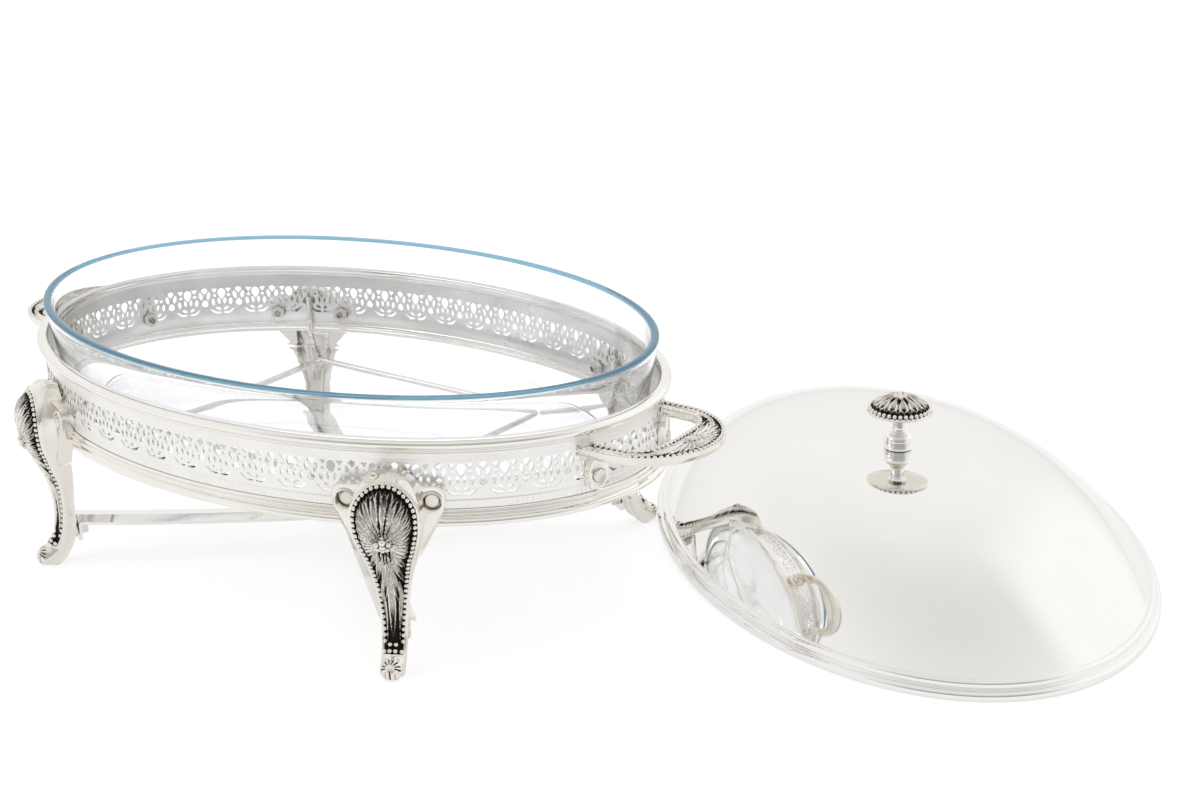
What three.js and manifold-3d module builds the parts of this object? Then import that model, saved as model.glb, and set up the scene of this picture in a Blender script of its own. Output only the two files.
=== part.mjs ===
// Oval chafing dish: a pierced silver-plated stand on four cast legs, a wire cradle that carries a glass
// oven dish, a tea light on crossed straps, and a domed lid that lies beside the stand.
// Millimetres, +Z up. The table is z = 0, +X runs along the stand's long axis.
import * as THREE from 'three';
import { mergeVertices } from 'three/addons/utils/BufferGeometryUtils.js';
import Module from 'manifold-3d';

const wasm = await Module();
wasm.setup();

// Gap left between pieces that touch
const SEAT = 0.35;

// Gallery band: its outer face is the oval that every piece of the stand is set from
const BAND_HALF_LENGTH = 178;
const BAND_HALF_WIDTH = 119;
const BAND_THICKNESS = 1.2;
const BAND_BOTTOM = 72.4;
const BAND_TOP = 109.2;
const PATTERN_REPEATS = 48;
const PATTERN_PHASE = 0.33;
const PIERCING_BOTTOM = 82.6;
const PIERCING_TOP = 99.2;
const LARGE_KITE_HALF_WIDTH = 3.0;
const SMALL_KITE_HALF_WIDTH = 2.1;
const CRESCENT_REACH = 6.6;

// Rolled rims
const UPPER_RIM_PROUD = 3.4;
const UPPER_RIM_TOP = 111.4;
const UPPER_RIM_BOTTOM = 105.4;
const LOWER_RIM_PROUD = 4.0;
const LOWER_RIM_TOP = 77.2;
const LOWER_RIM_BOTTOM = 70.0;
const RIM_STATIONS = 2 * PATTERN_REPEATS;

// Legs
const LEG_BEARING = 52.5;
const LEG_TOP = 98.2;
const LEG_BELLY = 21.2;
const LEG_HALF_WIDTH = 14.3;
const LEG_WALL = 2.3;
const EAR_SPREAD = 19.0;
const EAR_HEIGHT = 83.4;
const EAR_REACH = 24.4;
const EAR_TOP = 91.0;
const EAR_THICKNESS = 6.4;
const EAR_FLARE_BOTTOM = 56.0;
const LEG_BOSS_RADIUS = 4.6;
const LEG_BOSS_FACE = -1.8;

// Screws through ears and handle lugs, with their nuts
const SCREW_RADIUS = 1.5;
const SCREW_HEAD_RADIUS = 3.2;
const SCREW_HEAD_HEIGHT = 1.5;
const SCREW_RECESS = 3.6;
const NUT_RADIUS = 4.2;
const NUT_THICKNESS = 2.4;

// Handles, from the end of the band
const HANDLE_REACH = 41.5;
const HANDLE_SHOULDER = 5.0;
const HANDLE_ROOT = 14.0;
const HANDLE_HALF_WIDTH = 37.0;
const HANDLE_ARM = 9.5;
const HANDLE_CREST = 19.3;
const HANDLE_OPENING_SHOULDER = 6.0;
const HANDLE_TOP = 100.8;
const HANDLE_THICKNESS = 4.6;
const LUG_BEARING = 13.6;
const LUG_HALF_WIDTH = 5.6;
const LUG_BOTTOM = 79.2;
const LUG_THICKNESS = 3.0;
const LUG_SCREW_HEIGHT = 86.0;

// Wire cradle
const CRADLE_HALF_LENGTH = 76;
const CRADLE_HALF_WIDTH = 65;
const CRADLE_CORNER = 7;
const CRADLE_WIRE = 1.6;
const CRADLE_HEIGHT = 64.6;
const HANGER_TOP = 93.0;
const HANGER_ELBOW = 16;

// Crossed straps, at the height of their ends
const STRAP_WIDTH = 16;
const STRAP_THICKNESS = 1.6;
const STRAP_CREASE = 1.0;
const STRAP_HEIGHT = 21.2;
const STRAP_SAG = 4.6;
const STRAP_SPANS = 8;
const TAB_WIDTH = 11;
const TAB_DROP = 6.4;
const STRAP_BOLT_HEIGHT = 16.5;
const STRAP_BOLT_RADIUS = 1.8;
const STRAP_BOLT_HEAD_RADIUS = 3.9;
const STRAP_BOLT_HEAD_HEIGHT = 3.2;
const STRAP_BOLT_GRIP = 4.6;

// Tea light and its holder
const TEALIGHT_RADIUS = 19;
const TEALIGHT_HEIGHT = 15;
const TEALIGHT_WALL = 0.8;
const WAX_HEIGHT = 11;
const WICK_RADIUS = 0.9;
const WICK_LENGTH = 6;
const HOLDER_CLEARANCE = 2.2;
const HOLDER_WALL = 1.2;
const HOLDER_DEPTH = 9;
const HOLDER_SCREW_RADIUS = 1.8;
const HOLDER_SCREW_HEAD_RADIUS = 4.0;
const HOLDER_SCREW_HEAD_HEIGHT = 1.6;

// Glass dish, which drops into the band
const GLASS_END_CLEARANCE = 3.0;
const GLASS_SIDE_CLEARANCE = 0.6;
const GLASS_HALF_LENGTH = BAND_HALF_LENGTH - GLASS_END_CLEARANCE;
const GLASS_HALF_WIDTH = BAND_HALF_WIDTH - GLASS_SIDE_CLEARANCE;
const GLASS_RIM_TOP = 130.0;
const GLASS_RIM_HEIGHT = 4.5;
const GLASS_RIM_WIDTH = 4.8;
const GLASS_WALL = 4.0;
const GLASS_FLOOR = 5.0;
const GLASS_SHOULDER_INSET = 1.4;
const GLASS_WAIST_INSET = 8.5;
const GLASS_WAIST_HEIGHT = 80.0;
const GLASS_FOOT_INSET = 24.0;
const GLASS_SEGMENTS = 44;

// Lid: its oval reaches over the glass dish, and it lies beside the right-hand rear leg
const LID_END_OVERHANG = 10.2;
const LID_SIDE_OVERHANG = 3.6;
const LID_HALF_LENGTH = GLASS_HALF_LENGTH + LID_END_OVERHANG;
const LID_HALF_WIDTH = GLASS_HALF_WIDTH + LID_SIDE_OVERHANG;
const LID_BESIDE_LEG_X = 126.6;
const LID_BESIDE_LEG_Y = 66.5;
const LID_TURN = 134.1;
const LID_SHEET = 1.3;
const LID_BEAD_HEIGHT = 4.6;
const LID_STEP_INSET = 2.6;
const LID_STEP_HEIGHT = 8.8;
const LID_FOOT_INSET = 6.6;
const LID_DOME_HEIGHT = 48.0;
const LID_FULLNESS = 4.0;
const LID_SEGMENTS = 44;

// Lid knob
const KNOB_FOOT_RADIUS = 6.8;
const KNOB_BULB_RADIUS = 7.8;
const KNOB_NECK_RADIUS = 3.6;
const KNOB_COLLAR_RADIUS = 5.2;
const KNOB_STEM_HEIGHT = 19.6;
const KNOB_CAP_RADIUS = 16.7;
const KNOB_CAP_HEIGHT = 10.2;
const KNOB_ROD_RADIUS = 1.9;
const KNOB_NUT_RADIUS = 4.6;
const KNOB_NUT_HEIGHT = 3.6;
const KNOB_SEGMENTS = 16;

const ROUND_SEGMENTS = 6;
const FLATNESS = 0.02;

const silver = new THREE.MeshStandardMaterial({ color: 0xe9e4da, roughness: 0.12, metalness: 1.0 });
const castSilver = new THREE.MeshStandardMaterial({ color: 0xd8d0c0, roughness: 0.25, metalness: 1.0 });
const wire = new THREE.MeshStandardMaterial({ color: 0xdcd6c8, roughness: 0.22, metalness: 1.0 });
const fastener = new THREE.MeshStandardMaterial({ color: 0xc9c3b6, roughness: 0.35, metalness: 1.0 });
const aluminium = new THREE.MeshStandardMaterial({ color: 0xd2d4d6, roughness: 0.4, metalness: 1.0 });
const wax = new THREE.MeshStandardMaterial({ color: 0xf6f1e4, roughness: 0.6, metalness: 0.0 });
const glass = new THREE.MeshStandardMaterial({
  color: 0xdfeef2, roughness: 0.02, metalness: 0.0, transparent: true, opacity: 0.35,
});

// Solids

function toSolid(geometry) {
  const bare = geometry.clone();
  bare.deleteAttribute('normal');
  bare.deleteAttribute('uv');
  const welded = mergeVertices(bare, 1e-4);
  return new wasm.Manifold(new wasm.Mesh({
    numProp: 3,
    vertProperties: new Float32Array(welded.attributes.position.array),
    triVerts: new Uint32Array(welded.index.array),
  }));
}

// Edges left by a cut on a face that stays flat are dropped
function toGeometry(solid) {
  const mesh = solid.asOriginal().simplify(FLATNESS).getMesh();
  const geometry = new THREE.BufferGeometry();
  geometry.setAttribute('position', new THREE.BufferAttribute(mesh.vertProperties, 3));
  geometry.setIndex(new THREE.BufferAttribute(mesh.triVerts, 1));
  geometry.computeVertexNormals();
  return geometry;
}

// A closed skin with the given corners and triangles, turned to face out
function closedSkin(corners, triangles) {
  let volume = 0;
  const cross = new THREE.Vector3();
  for (const [a, b, c] of triangles) {
    volume += corners[a].dot(cross.crossVectors(corners[b], corners[c]));
  }
  const facingOut = volume > 0 ? triangles : triangles.map(([a, b, c]) => [a, c, b]);
  const geometry = new THREE.BufferGeometry().setFromPoints(corners);
  geometry.setIndex(facingOut.flat());
  const welded = mergeVertices(geometry, 1e-4);
  welded.computeVertexNormals();
  return welded;
}

// A skin over rows of points. Each row is a closed loop, and a row of one point closes an end.
function skinOverRows(rows, joinEnds) {
  const corners = rows.flat();
  const triangles = [];
  const starts = [];
  let count = 0;
  for (const row of rows) {
    starts.push(count);
    count += row.length;
  }
  const spans = joinEnds ? rows.length : rows.length - 1;
  for (let i = 0; i < spans; i++) {
    const j = (i + 1) % rows.length;
    const around = Math.max(rows[i].length, rows[j].length);
    for (let k = 0; k < around; k++) {
      const next = (k + 1) % around;
      const here = rows[i].length > 1 ? [starts[i] + k, starts[i] + next] : [starts[i], starts[i]];
      const there = rows[j].length > 1 ? [starts[j] + k, starts[j] + next] : [starts[j], starts[j]];
      if (rows[i].length > 1) triangles.push([here[0], here[1], there[0]]);
      if (rows[j].length > 1) triangles.push([here[1], there[1], there[0]]);
    }
  }
  return closedSkin(corners, triangles);
}

// Round solid about its own Z axis from a profile of [radius, height] points that closes on the axis
function turned(profile, segments) {
  return new THREE.LatheGeometry(profile.map(([r, z]) => new THREE.Vector2(r, z)), segments)
    .rotateX(Math.PI / 2);
}

function plainCylinder(radius, bottom, top, segments = ROUND_SEGMENTS) {
  return new THREE.CylinderGeometry(radius, radius, top - bottom, segments)
    .rotateX(Math.PI / 2)
    .translate(0, 0, (bottom + top) / 2);
}

// The oval of the band: places are given by distance along it, and by how far out of it they lie
const oval = (() => {
  const steps = 7200;
  const reach = [0];
  let last = new THREE.Vector2(BAND_HALF_LENGTH, 0);
  for (let i = 1; i <= steps; i++) {
    const turn = (i / steps) * 2 * Math.PI;
    const here = new THREE.Vector2(BAND_HALF_LENGTH * Math.cos(turn), BAND_HALF_WIDTH * Math.sin(turn));
    reach.push(reach[i - 1] + here.distanceTo(last));
    last = here;
  }
  const length = reach[steps];

  function bearingAt(distance) {
    const along = ((distance % length) + length) % length;
    let low = 0;
    let high = steps;
    while (high - low > 1) {
      const middle = (low + high) >> 1;
      if (reach[middle] <= along) low = middle;
      else high = middle;
    }
    const part = (along - reach[low]) / (reach[high] - reach[low]);
    return ((low + part) / steps) * 2 * Math.PI;
  }

  function distanceAt(bearing) {
    const turn = ((bearing % (2 * Math.PI)) + 2 * Math.PI) % (2 * Math.PI);
    return reach[Math.round((turn / (2 * Math.PI)) * steps)];
  }

  function outwardAt(bearing) {
    return new THREE.Vector2(
      Math.cos(bearing) / BAND_HALF_LENGTH, Math.sin(bearing) / BAND_HALF_WIDTH,
    ).normalize();
  }

  function pointAt(distance, out, height) {
    const bearing = bearingAt(distance);
    const outward = outwardAt(bearing);
    return new THREE.Vector3(
      BAND_HALF_LENGTH * Math.cos(bearing) + out * outward.x,
      BAND_HALF_WIDTH * Math.sin(bearing) + out * outward.y,
      height,
    );
  }

  // A frame on the band's outer face: its Y points out of the oval, its Z up
  function frameAt(bearing) {
    const outward = outwardAt(bearing);
    const place = new THREE.Matrix4().makeBasis(
      new THREE.Vector3(outward.y, -outward.x, 0),
      new THREE.Vector3(outward.x, outward.y, 0),
      new THREE.Vector3(0, 0, 1),
    );
    place.setPosition(BAND_HALF_LENGTH * Math.cos(bearing), BAND_HALF_WIDTH * Math.sin(bearing), 0);
    return place;
  }

  function bendRadiusAt(bearing) {
    const pace = Math.hypot(BAND_HALF_LENGTH * Math.sin(bearing), BAND_HALF_WIDTH * Math.cos(bearing));
    return pace ** 3 / (BAND_HALF_LENGTH * BAND_HALF_WIDTH);
  }

  return { length, pointAt, frameAt, distanceAt, bendRadiusAt };
})();

const toRadians = THREE.MathUtils.degToRad;
const legBearings = [-LEG_BEARING, 180 + LEG_BEARING, 180 - LEG_BEARING, LEG_BEARING].map(toRadians);
const legNames = ['front_right', 'front_left', 'rear_left', 'rear_right'];
const handleSides = [{ name: 'right', turn: 0 }, { name: 'left', turn: Math.PI }];
const legBend = oval.bendRadiusAt(toRadians(LEG_BEARING));

// Place of a screw through the ear on one side of a leg, in the leg's frame: its axis points out of the band
function earFrame(side) {
  const turn = (side * EAR_SPREAD) / legBend;
  const place = new THREE.Matrix4().makeRotationZ(-turn);
  place.setPosition(legBend * Math.sin(turn), legBend * (Math.cos(turn) - 1), EAR_HEIGHT);
  return place;
}

// Turns a solid that stands along Z so that it points along Y, out of the band
const zToOutward = new THREE.Matrix4().makeRotationX(-Math.PI / 2);

const bandScrewPlaces = [];
for (const bearing of legBearings) {
  for (const side of [-1, 1]) {
    bandScrewPlaces.push(oval.frameAt(bearing).multiply(earFrame(side)));
  }
}
for (const { turn } of handleSides) {
  for (const side of [-1, 1]) {
    const lug = oval.frameAt(turn + side * toRadians(LUG_BEARING));
    bandScrewPlaces.push(lug.multiply(new THREE.Matrix4().makeTranslation(0, 0, LUG_SCREW_HEIGHT)));
  }
}

// Pierced gallery band

// One repeat of the piercing, as outlines of [along, height] from the middle of the large kite
function galleryPiercing(pitch) {
  const rise = (share) => PIERCING_BOTTOM + share * (PIERCING_TOP - PIERCING_BOTTOM);
  const kite = (centre, halfWidth, low, waist, high) => [
    [centre, rise(low)], [centre + halfWidth, rise(waist)], [centre, rise(high)], [centre - halfWidth, rise(waist)],
  ];
  const crescent = [[-CRESCENT_REACH, rise(0.28)], [0, rise(0)], [CRESCENT_REACH, rise(0.28)], [0, rise(0.14)]];
  return [
    kite(0, LARGE_KITE_HALF_WIDTH, 0.36, 0.78, 1.0),
    kite(pitch / 2, SMALL_KITE_HALF_WIDTH, 0.5, 0.84, 1.0),
    crescent,
  ];
}

function galleryBand() {
  const pitch = oval.length / PATTERN_REPEATS;
  const right = (CRESCENT_REACH + pitch / 2 - SMALL_KITE_HALF_WIDTH) / 2;
  const left = right - pitch;
  const outline = [
    [left, BAND_BOTTOM], [left + pitch / 2, BAND_BOTTOM], [right, BAND_BOTTOM],
    [right, BAND_TOP], [left + pitch / 2, BAND_TOP], [left, BAND_TOP],
  ];
  const freeEdges = [[0, 1], [1, 2], [3, 4], [4, 5]];
  const shiftedKite = (hole) => hole.map(([along, height]) => [along > right ? along - pitch : along, height]);
  const cell = galleryPiercing(pitch).map(shiftedKite);
  const corners = [];
  const triangles = [];
  for (let repeat = 0; repeat < PATTERN_REPEATS; repeat++) {
    const start = (repeat + PATTERN_PHASE) * pitch;
    const piercing = cell.filter((hole) => !nearScrew(hole, start));
    addGalleryCell(outline, piercing, freeEdges, start, corners, triangles);
  }
  let solid = toSolid(closedSkin(corners, triangles));
  for (const place of bandScrewPlaces) {
    const bore = plainCylinder(SCREW_RADIUS + SEAT + 0.2, -2 * BAND_THICKNESS, BAND_THICKNESS);
    solid = solid.subtract(toSolid(bore.applyMatrix4(zToOutward).applyMatrix4(place)));
  }
  return toGeometry(solid);
}

// The band stays whole around its screws
function nearScrew(hole, start) {
  const keep = NUT_RADIUS + 1;
  return bandScrewPlaces.some((place) => {
    const at = new THREE.Vector3().setFromMatrixPosition(place);
    return hole.some(([along, height]) => oval.pointAt(start + along, 0, height).distanceTo(at) < keep);
  });
}

function addGalleryCell(outline, piercing, freeEdges, start, corners, triangles) {
  const toVectors = (points) => points.map(([along, height]) => new THREE.Vector2(along, height));
  const flat = [outline, ...piercing].flat();
  const first = corners.length;
  for (const out of [0, -BAND_THICKNESS]) {
    for (const [along, height] of flat) corners.push(oval.pointAt(start + along, out, height));
  }
  const outer = (i) => first + i;
  const inner = (i) => first + flat.length + i;
  for (const [a, b, c] of THREE.ShapeUtils.triangulateShape(toVectors(outline), piercing.map(toVectors))) {
    const area = (flat[b][0] - flat[a][0]) * (flat[c][1] - flat[a][1])
      - (flat[c][0] - flat[a][0]) * (flat[b][1] - flat[a][1]);
    const [p, q, r] = area > 0 ? [a, b, c] : [a, c, b];
    triangles.push([outer(p), outer(q), outer(r)], [inner(p), inner(r), inner(q)]);
  }
  const addWall = (p, q) => {
    triangles.push([outer(p), inner(q), outer(q)], [outer(p), inner(p), inner(q)]);
  };
  for (const [p, q] of freeEdges) addWall(p, q);
  let offset = outline.length;
  for (const hole of piercing) {
    const clockwise = THREE.ShapeUtils.isClockWise(toVectors(hole));
    for (let k = 0; k < hole.length; k++) {
      const p = offset + k;
      const q = offset + ((k + 1) % hole.length);
      if (clockwise) addWall(p, q);
      else addWall(q, p);
    }
    offset += hole.length;
  }
}

// Rolled rims, swept round the oval from a profile of [out, height] points

function sweptRim(profile) {
  const rows = [];
  for (let i = 0; i < RIM_STATIONS; i++) {
    const distance = (i / RIM_STATIONS) * oval.length;
    rows.push(profile.map(([out, height]) => oval.pointAt(distance, out, height)));
  }
  return skinOverRows(rows, true);
}

// Each rim is an outer bead with a flange over the band's edge
const flangeInside = -BAND_THICKNESS - SEAT;

function upperRim() {
  return sweptRim([
    [SEAT, UPPER_RIM_BOTTOM], [UPPER_RIM_PROUD, (UPPER_RIM_TOP + UPPER_RIM_BOTTOM) / 2],
    [UPPER_RIM_PROUD * 0.4, UPPER_RIM_TOP], [flangeInside, UPPER_RIM_TOP],
    [flangeInside, BAND_TOP + SEAT], [SEAT, BAND_TOP + SEAT],
  ]);
}

function lowerRim() {
  return sweptRim([
    [SEAT, LOWER_RIM_TOP], [LOWER_RIM_PROUD, (LOWER_RIM_TOP + LOWER_RIM_BOTTOM) / 2],
    [LOWER_RIM_PROUD * 0.5, LOWER_RIM_BOTTOM], [flangeInside, LOWER_RIM_BOTTOM],
    [flangeInside, BAND_BOTTOM - SEAT], [SEAT, BAND_BOTTOM - SEAT],
  ]);
}

// Legs, in their own frame: X across, Y out of the band, Z up

// Stations down the leg: front face, back edge, half widths of the front and the back, depth of the channel.
// Places out of the band are shares of the belly, heights of the top, and half widths of the widest one.
const LEG_STATIONS = [
  { front: [0.566, 0.976], back: [0.047, 0.967], halfFront: 0.524, halfBack: 0.629, channel: 0.1 },
  { front: [0.83, 0.923], back: [0.047, 0.908], halfFront: 0.825, halfBack: 0.881, channel: 0.7 },
  { front: [1, 0.82], back: [0.047, 0.81], halfFront: 1, halfBack: 1.049, channel: 0.8 },
  { front: [0.925, 0.698], back: [0.038, 0.687], halfFront: 0.951, halfBack: 1.084, channel: 0.8 },
  { front: [0.66, 0.57], back: [-0.028, 0.55], halfFront: 0.755, halfBack: 0.755, channel: 0.75 },
  { front: [0.415, 0.453], back: [-0.061, 0.438], halfFront: 0.573, halfBack: 0.531, channel: 0.55 },
  { front: [0.344, 0.316], back: [-0.061, 0.305], halfFront: 0.448, halfBack: 0.35, channel: 0.3 },
  { front: [0.396, 0.183], back: [-0.028, 0.153], halfFront: 0.406, halfBack: 0.322, channel: 0.08 },
  { front: [0.547, 0.128], back: [0.142, 0.061], halfFront: 0.392, halfBack: 0.336, channel: 0.08 },
  { front: [0.858, 0.086], back: [0.637, -0.025], halfFront: 0.322, halfBack: 0.322, channel: 0.08 },
];
const LEG_CROWN_APEX = [0.236, 1];
const LEG_TOE_APEX = [0.925, 0.037];

function legPoint(across, [out, height]) {
  return new THREE.Vector3(across, out * LEG_BELLY, height * LEG_TOP);
}

function legSection({ front, back, halfFront, halfBack, channel }) {
  const outerBack = halfBack * LEG_HALF_WIDTH;
  const outerFront = halfFront * LEG_HALF_WIDTH;
  const innerBack = outerBack - LEG_WALL;
  const innerFront = outerFront - LEG_WALL;
  const outline = [
    [-outerBack, 0], [-outerFront, 0.6], [-0.55 * outerFront, 0.95], [0.55 * outerFront, 0.95], [outerFront, 0.6],
    [outerBack, 0], [innerBack, 0], [innerFront, 0.7 * channel], [-innerFront, 0.7 * channel], [-innerBack, 0],
  ];
  return outline.map(([across, depth]) => legPoint(across, back).lerp(legPoint(across, front), depth));
}

function legShaft() {
  const apex = (place) => [legPoint(0, place)];
  return skinOverRows([apex(LEG_CROWN_APEX), ...LEG_STATIONS.map(legSection), apex(LEG_TOE_APEX)], false);
}

// Wraps a plate that stands in the X-Z plane, with its depth along Y, round the band's curve
function bendRoundBand(geometry, bend) {
  const place = geometry.attributes.position;
  for (let i = 0; i < place.count; i++) {
    const turn = place.getX(i) / bend;
    const radius = bend + place.getY(i);
    place.setXY(i, radius * Math.sin(turn), radius * Math.cos(turn) - bend);
  }
  return geometry;
}

// A flat plate from an outline of [across, height], with its depth along Y from near to far
function standingPlate(outline, near, far) {
  const shape = new THREE.Shape(outline.map(([across, height]) => new THREE.Vector2(across, height)));
  return new THREE.ExtrudeGeometry(shape, { depth: far - near, bevelEnabled: false })
    .rotateX(Math.PI / 2)
    .translate(0, far, 0);
}

function legEar(side) {
  const outline = [
    [10.4, EAR_TOP], [EAR_REACH - 3, EAR_TOP], [EAR_REACH, EAR_HEIGHT], [EAR_REACH - 3.5, EAR_HEIGHT - 10],
    [17.8, 65.0], [13.0, EAR_FLARE_BOTTOM], [10.4, EAR_FLARE_BOTTOM],
  ].map(([across, height]) => [side * across, height]);
  const plate = bendRoundBand(standingPlate(outline, SEAT + 0.15, EAR_THICKNESS), legBend);
  const recess = plainCylinder(SCREW_HEAD_RADIUS + SEAT + 0.2, EAR_THICKNESS - SCREW_RECESS, 2 * EAR_THICKNESS);
  const bore = plainCylinder(SCREW_RADIUS + SEAT, -EAR_THICKNESS, 2 * EAR_THICKNESS);
  let solid = toSolid(plate);
  for (const tool of [recess, bore]) {
    solid = solid.subtract(toSolid(tool.applyMatrix4(zToOutward).applyMatrix4(earFrame(side))));
  }
  return solid;
}

function leg() {
  let solid = toSolid(legShaft()).add(legEar(1)).add(legEar(-1));
  const reliefInside = legBend - 12;
  const reliefOutside = legBend + LOWER_RIM_PROUD + 2 * SEAT;
  const rimRelief = turned([
    [reliefInside, LOWER_RIM_BOTTOM - SEAT], [reliefOutside, LOWER_RIM_BOTTOM - SEAT],
    [reliefOutside, LOWER_RIM_TOP + SEAT], [reliefInside, LOWER_RIM_TOP + SEAT],
    [reliefInside, LOWER_RIM_BOTTOM - SEAT],
  ], 64).translate(0, -legBend, 0);
  solid = solid.subtract(toSolid(rimRelief));
  const floor = new THREE.BoxGeometry(60, 80, 20).translate(0, 10, -10);
  solid = solid.subtract(toSolid(floor));
  const boss = plainCylinder(LEG_BOSS_RADIUS, LEG_BOSS_FACE, 3, 12);
  const bore = plainCylinder(STRAP_BOLT_RADIUS + SEAT, -6, STRAP_BOLT_GRIP + SEAT);
  for (const piece of [boss, bore]) {
    piece.applyMatrix4(zToOutward).translate(0, 0, STRAP_BOLT_HEIGHT);
  }
  return toGeometry(solid.add(toSolid(boss)).subtract(toSolid(bore)));
}

// Screws and nuts of the band, along Z with z = 0 on the band's outer face

// What lies against the band's inside stands clear of its flat facets
const insideFace = -BAND_THICKNESS - 2 * SEAT;

function bandScrew(seat) {
  const underHead = seat + SEAT;
  const tip = insideFace - NUT_THICKNESS - SEAT;
  return turned([
    [0, tip], [SCREW_RADIUS, tip], [SCREW_RADIUS, underHead], [SCREW_HEAD_RADIUS, underHead],
    [SCREW_HEAD_RADIUS * 0.85, underHead + SCREW_HEAD_HEIGHT], [0, underHead + SCREW_HEAD_HEIGHT],
  ], ROUND_SEGMENTS);
}

function bandNut() {
  const bore = SCREW_RADIUS + SEAT;
  const back = insideFace - NUT_THICKNESS;
  return turned([
    [bore, insideFace], [bore, back], [NUT_RADIUS, back], [NUT_RADIUS, insideFace], [bore, insideFace],
  ], 6);
}

// Handles, modelled at the right-hand end of the stand

// Half-oval outline of the loop, from one side of the band to the other
function handleOutline(shoulder, reach, halfWidth, squareness) {
  const baseX = BAND_HALF_LENGTH - HANDLE_ROOT;
  const steps = 12;
  const points = [[baseX, -halfWidth]];
  for (let i = 0; i <= steps; i++) {
    const turn = (i / steps - 0.5) * Math.PI;
    const sine = Math.sin(turn);
    points.push([
      BAND_HALF_LENGTH + shoulder + (reach - shoulder) * Math.max(0, Math.cos(turn)) ** squareness,
      halfWidth * Math.sign(sine) * Math.abs(sine) ** squareness,
    ]);
  }
  points.push([baseX, halfWidth]);
  return points;
}

function handleLoop() {
  const plate = (points, bottom, top) => {
    const shape = new THREE.Shape(points.map(([x, y]) => new THREE.Vector2(x, y)));
    return new THREE.ExtrudeGeometry(shape, { depth: top - bottom, bevelEnabled: false })
      .translate(0, 0, bottom);
  };
  const bottom = HANDLE_TOP - HANDLE_THICKNESS;
  const outer = handleOutline(HANDLE_SHOULDER, HANDLE_REACH, HANDLE_HALF_WIDTH, 1);
  const opening = handleOutline(
    HANDLE_OPENING_SHOULDER, HANDLE_REACH - HANDLE_CREST, HANDLE_HALF_WIDTH - HANDLE_ARM, 0.62,
  );
  return toSolid(plate(outer, bottom, HANDLE_TOP))
    .subtract(toSolid(plate(opening, bottom - 5, HANDLE_TOP + 5)))
    .subtract(toSolid(ovalPrism(SEAT + 0.1, bottom - 5, HANDLE_TOP + 5)));
}

// Upright prism over the band's oval, grown outward
function ovalPrism(grow, bottom, top) {
  const rows = [bottom, top].map((height) => {
    const row = [];
    for (let i = 0; i < RIM_STATIONS; i++) {
      row.push(oval.pointAt((i / RIM_STATIONS) * oval.length, grow, height));
    }
    return row;
  });
  return skinOverRows([
    [new THREE.Vector3(0, 0, bottom)], ...rows, [new THREE.Vector3(0, 0, top)],
  ], false);
}

function handleLug(side) {
  const bearing = side * toRadians(LUG_BEARING);
  const lugTop = HANDLE_TOP - HANDLE_THICKNESS / 2;
  const outline = [
    [-LUG_HALF_WIDTH, lugTop], [-LUG_HALF_WIDTH, LUG_BOTTOM + 3], [-LUG_HALF_WIDTH * 0.5, LUG_BOTTOM],
    [LUG_HALF_WIDTH * 0.5, LUG_BOTTOM], [LUG_HALF_WIDTH, LUG_BOTTOM + 3], [LUG_HALF_WIDTH, lugTop],
  ];
  const plate = bendRoundBand(
    standingPlate(outline, SEAT + 0.1, LUG_THICKNESS), oval.bendRadiusAt(bearing),
  );
  const bore = plainCylinder(SCREW_RADIUS + SEAT, -LUG_THICKNESS, 2 * LUG_THICKNESS)
    .applyMatrix4(zToOutward).translate(0, 0, LUG_SCREW_HEIGHT);
  return toSolid(plate.applyMatrix4(oval.frameAt(bearing)))
    .subtract(toSolid(bore.applyMatrix4(oval.frameAt(bearing))));
}

function handle() {
  return toGeometry(handleLoop().add(handleLug(1)).add(handleLug(-1)));
}

// Wire cradle

function wireAlong(path, steps) {
  const section = new THREE.Shape(wireSection().map(([x, y]) => new THREE.Vector2(x, y)));
  return new THREE.ExtrudeGeometry(section, { steps, extrudePath: path, bevelEnabled: false });
}

function wireSection() {
  const sides = 5;
  return Array.from({ length: sides }, (_, i) => {
    const turn = ((i + 0.25) / sides) * 2 * Math.PI;
    return [CRADLE_WIRE * Math.cos(turn), CRADLE_WIRE * Math.sin(turn)];
  });
}

// The loop is swept from points of its own, because its two ends meet
function cradleLoop() {
  const cornerSteps = 3;
  const rows = [];
  const corners = [
    { x: 1, y: 1, from: 0 }, { x: -1, y: 1, from: 90 }, { x: -1, y: -1, from: 180 }, { x: 1, y: -1, from: 270 },
  ];
  for (const { x, y, from } of corners) {
    for (let i = 0; i <= cornerSteps; i++) {
      const turn = toRadians(from + (90 * i) / cornerSteps);
      const centre = new THREE.Vector3(
        x * (CRADLE_HALF_LENGTH - CRADLE_CORNER), y * (CRADLE_HALF_WIDTH - CRADLE_CORNER), CRADLE_HEIGHT,
      );
      const outward = new THREE.Vector3(Math.cos(turn), Math.sin(turn), 0);
      rows.push(wireSection().map(([x0, y0]) => centre.clone()
        .addScaledVector(outward, CRADLE_CORNER + x0)
        .add(new THREE.Vector3(0, 0, y0))));
    }
  }
  return skinOverRows(rows, true);
}

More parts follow.
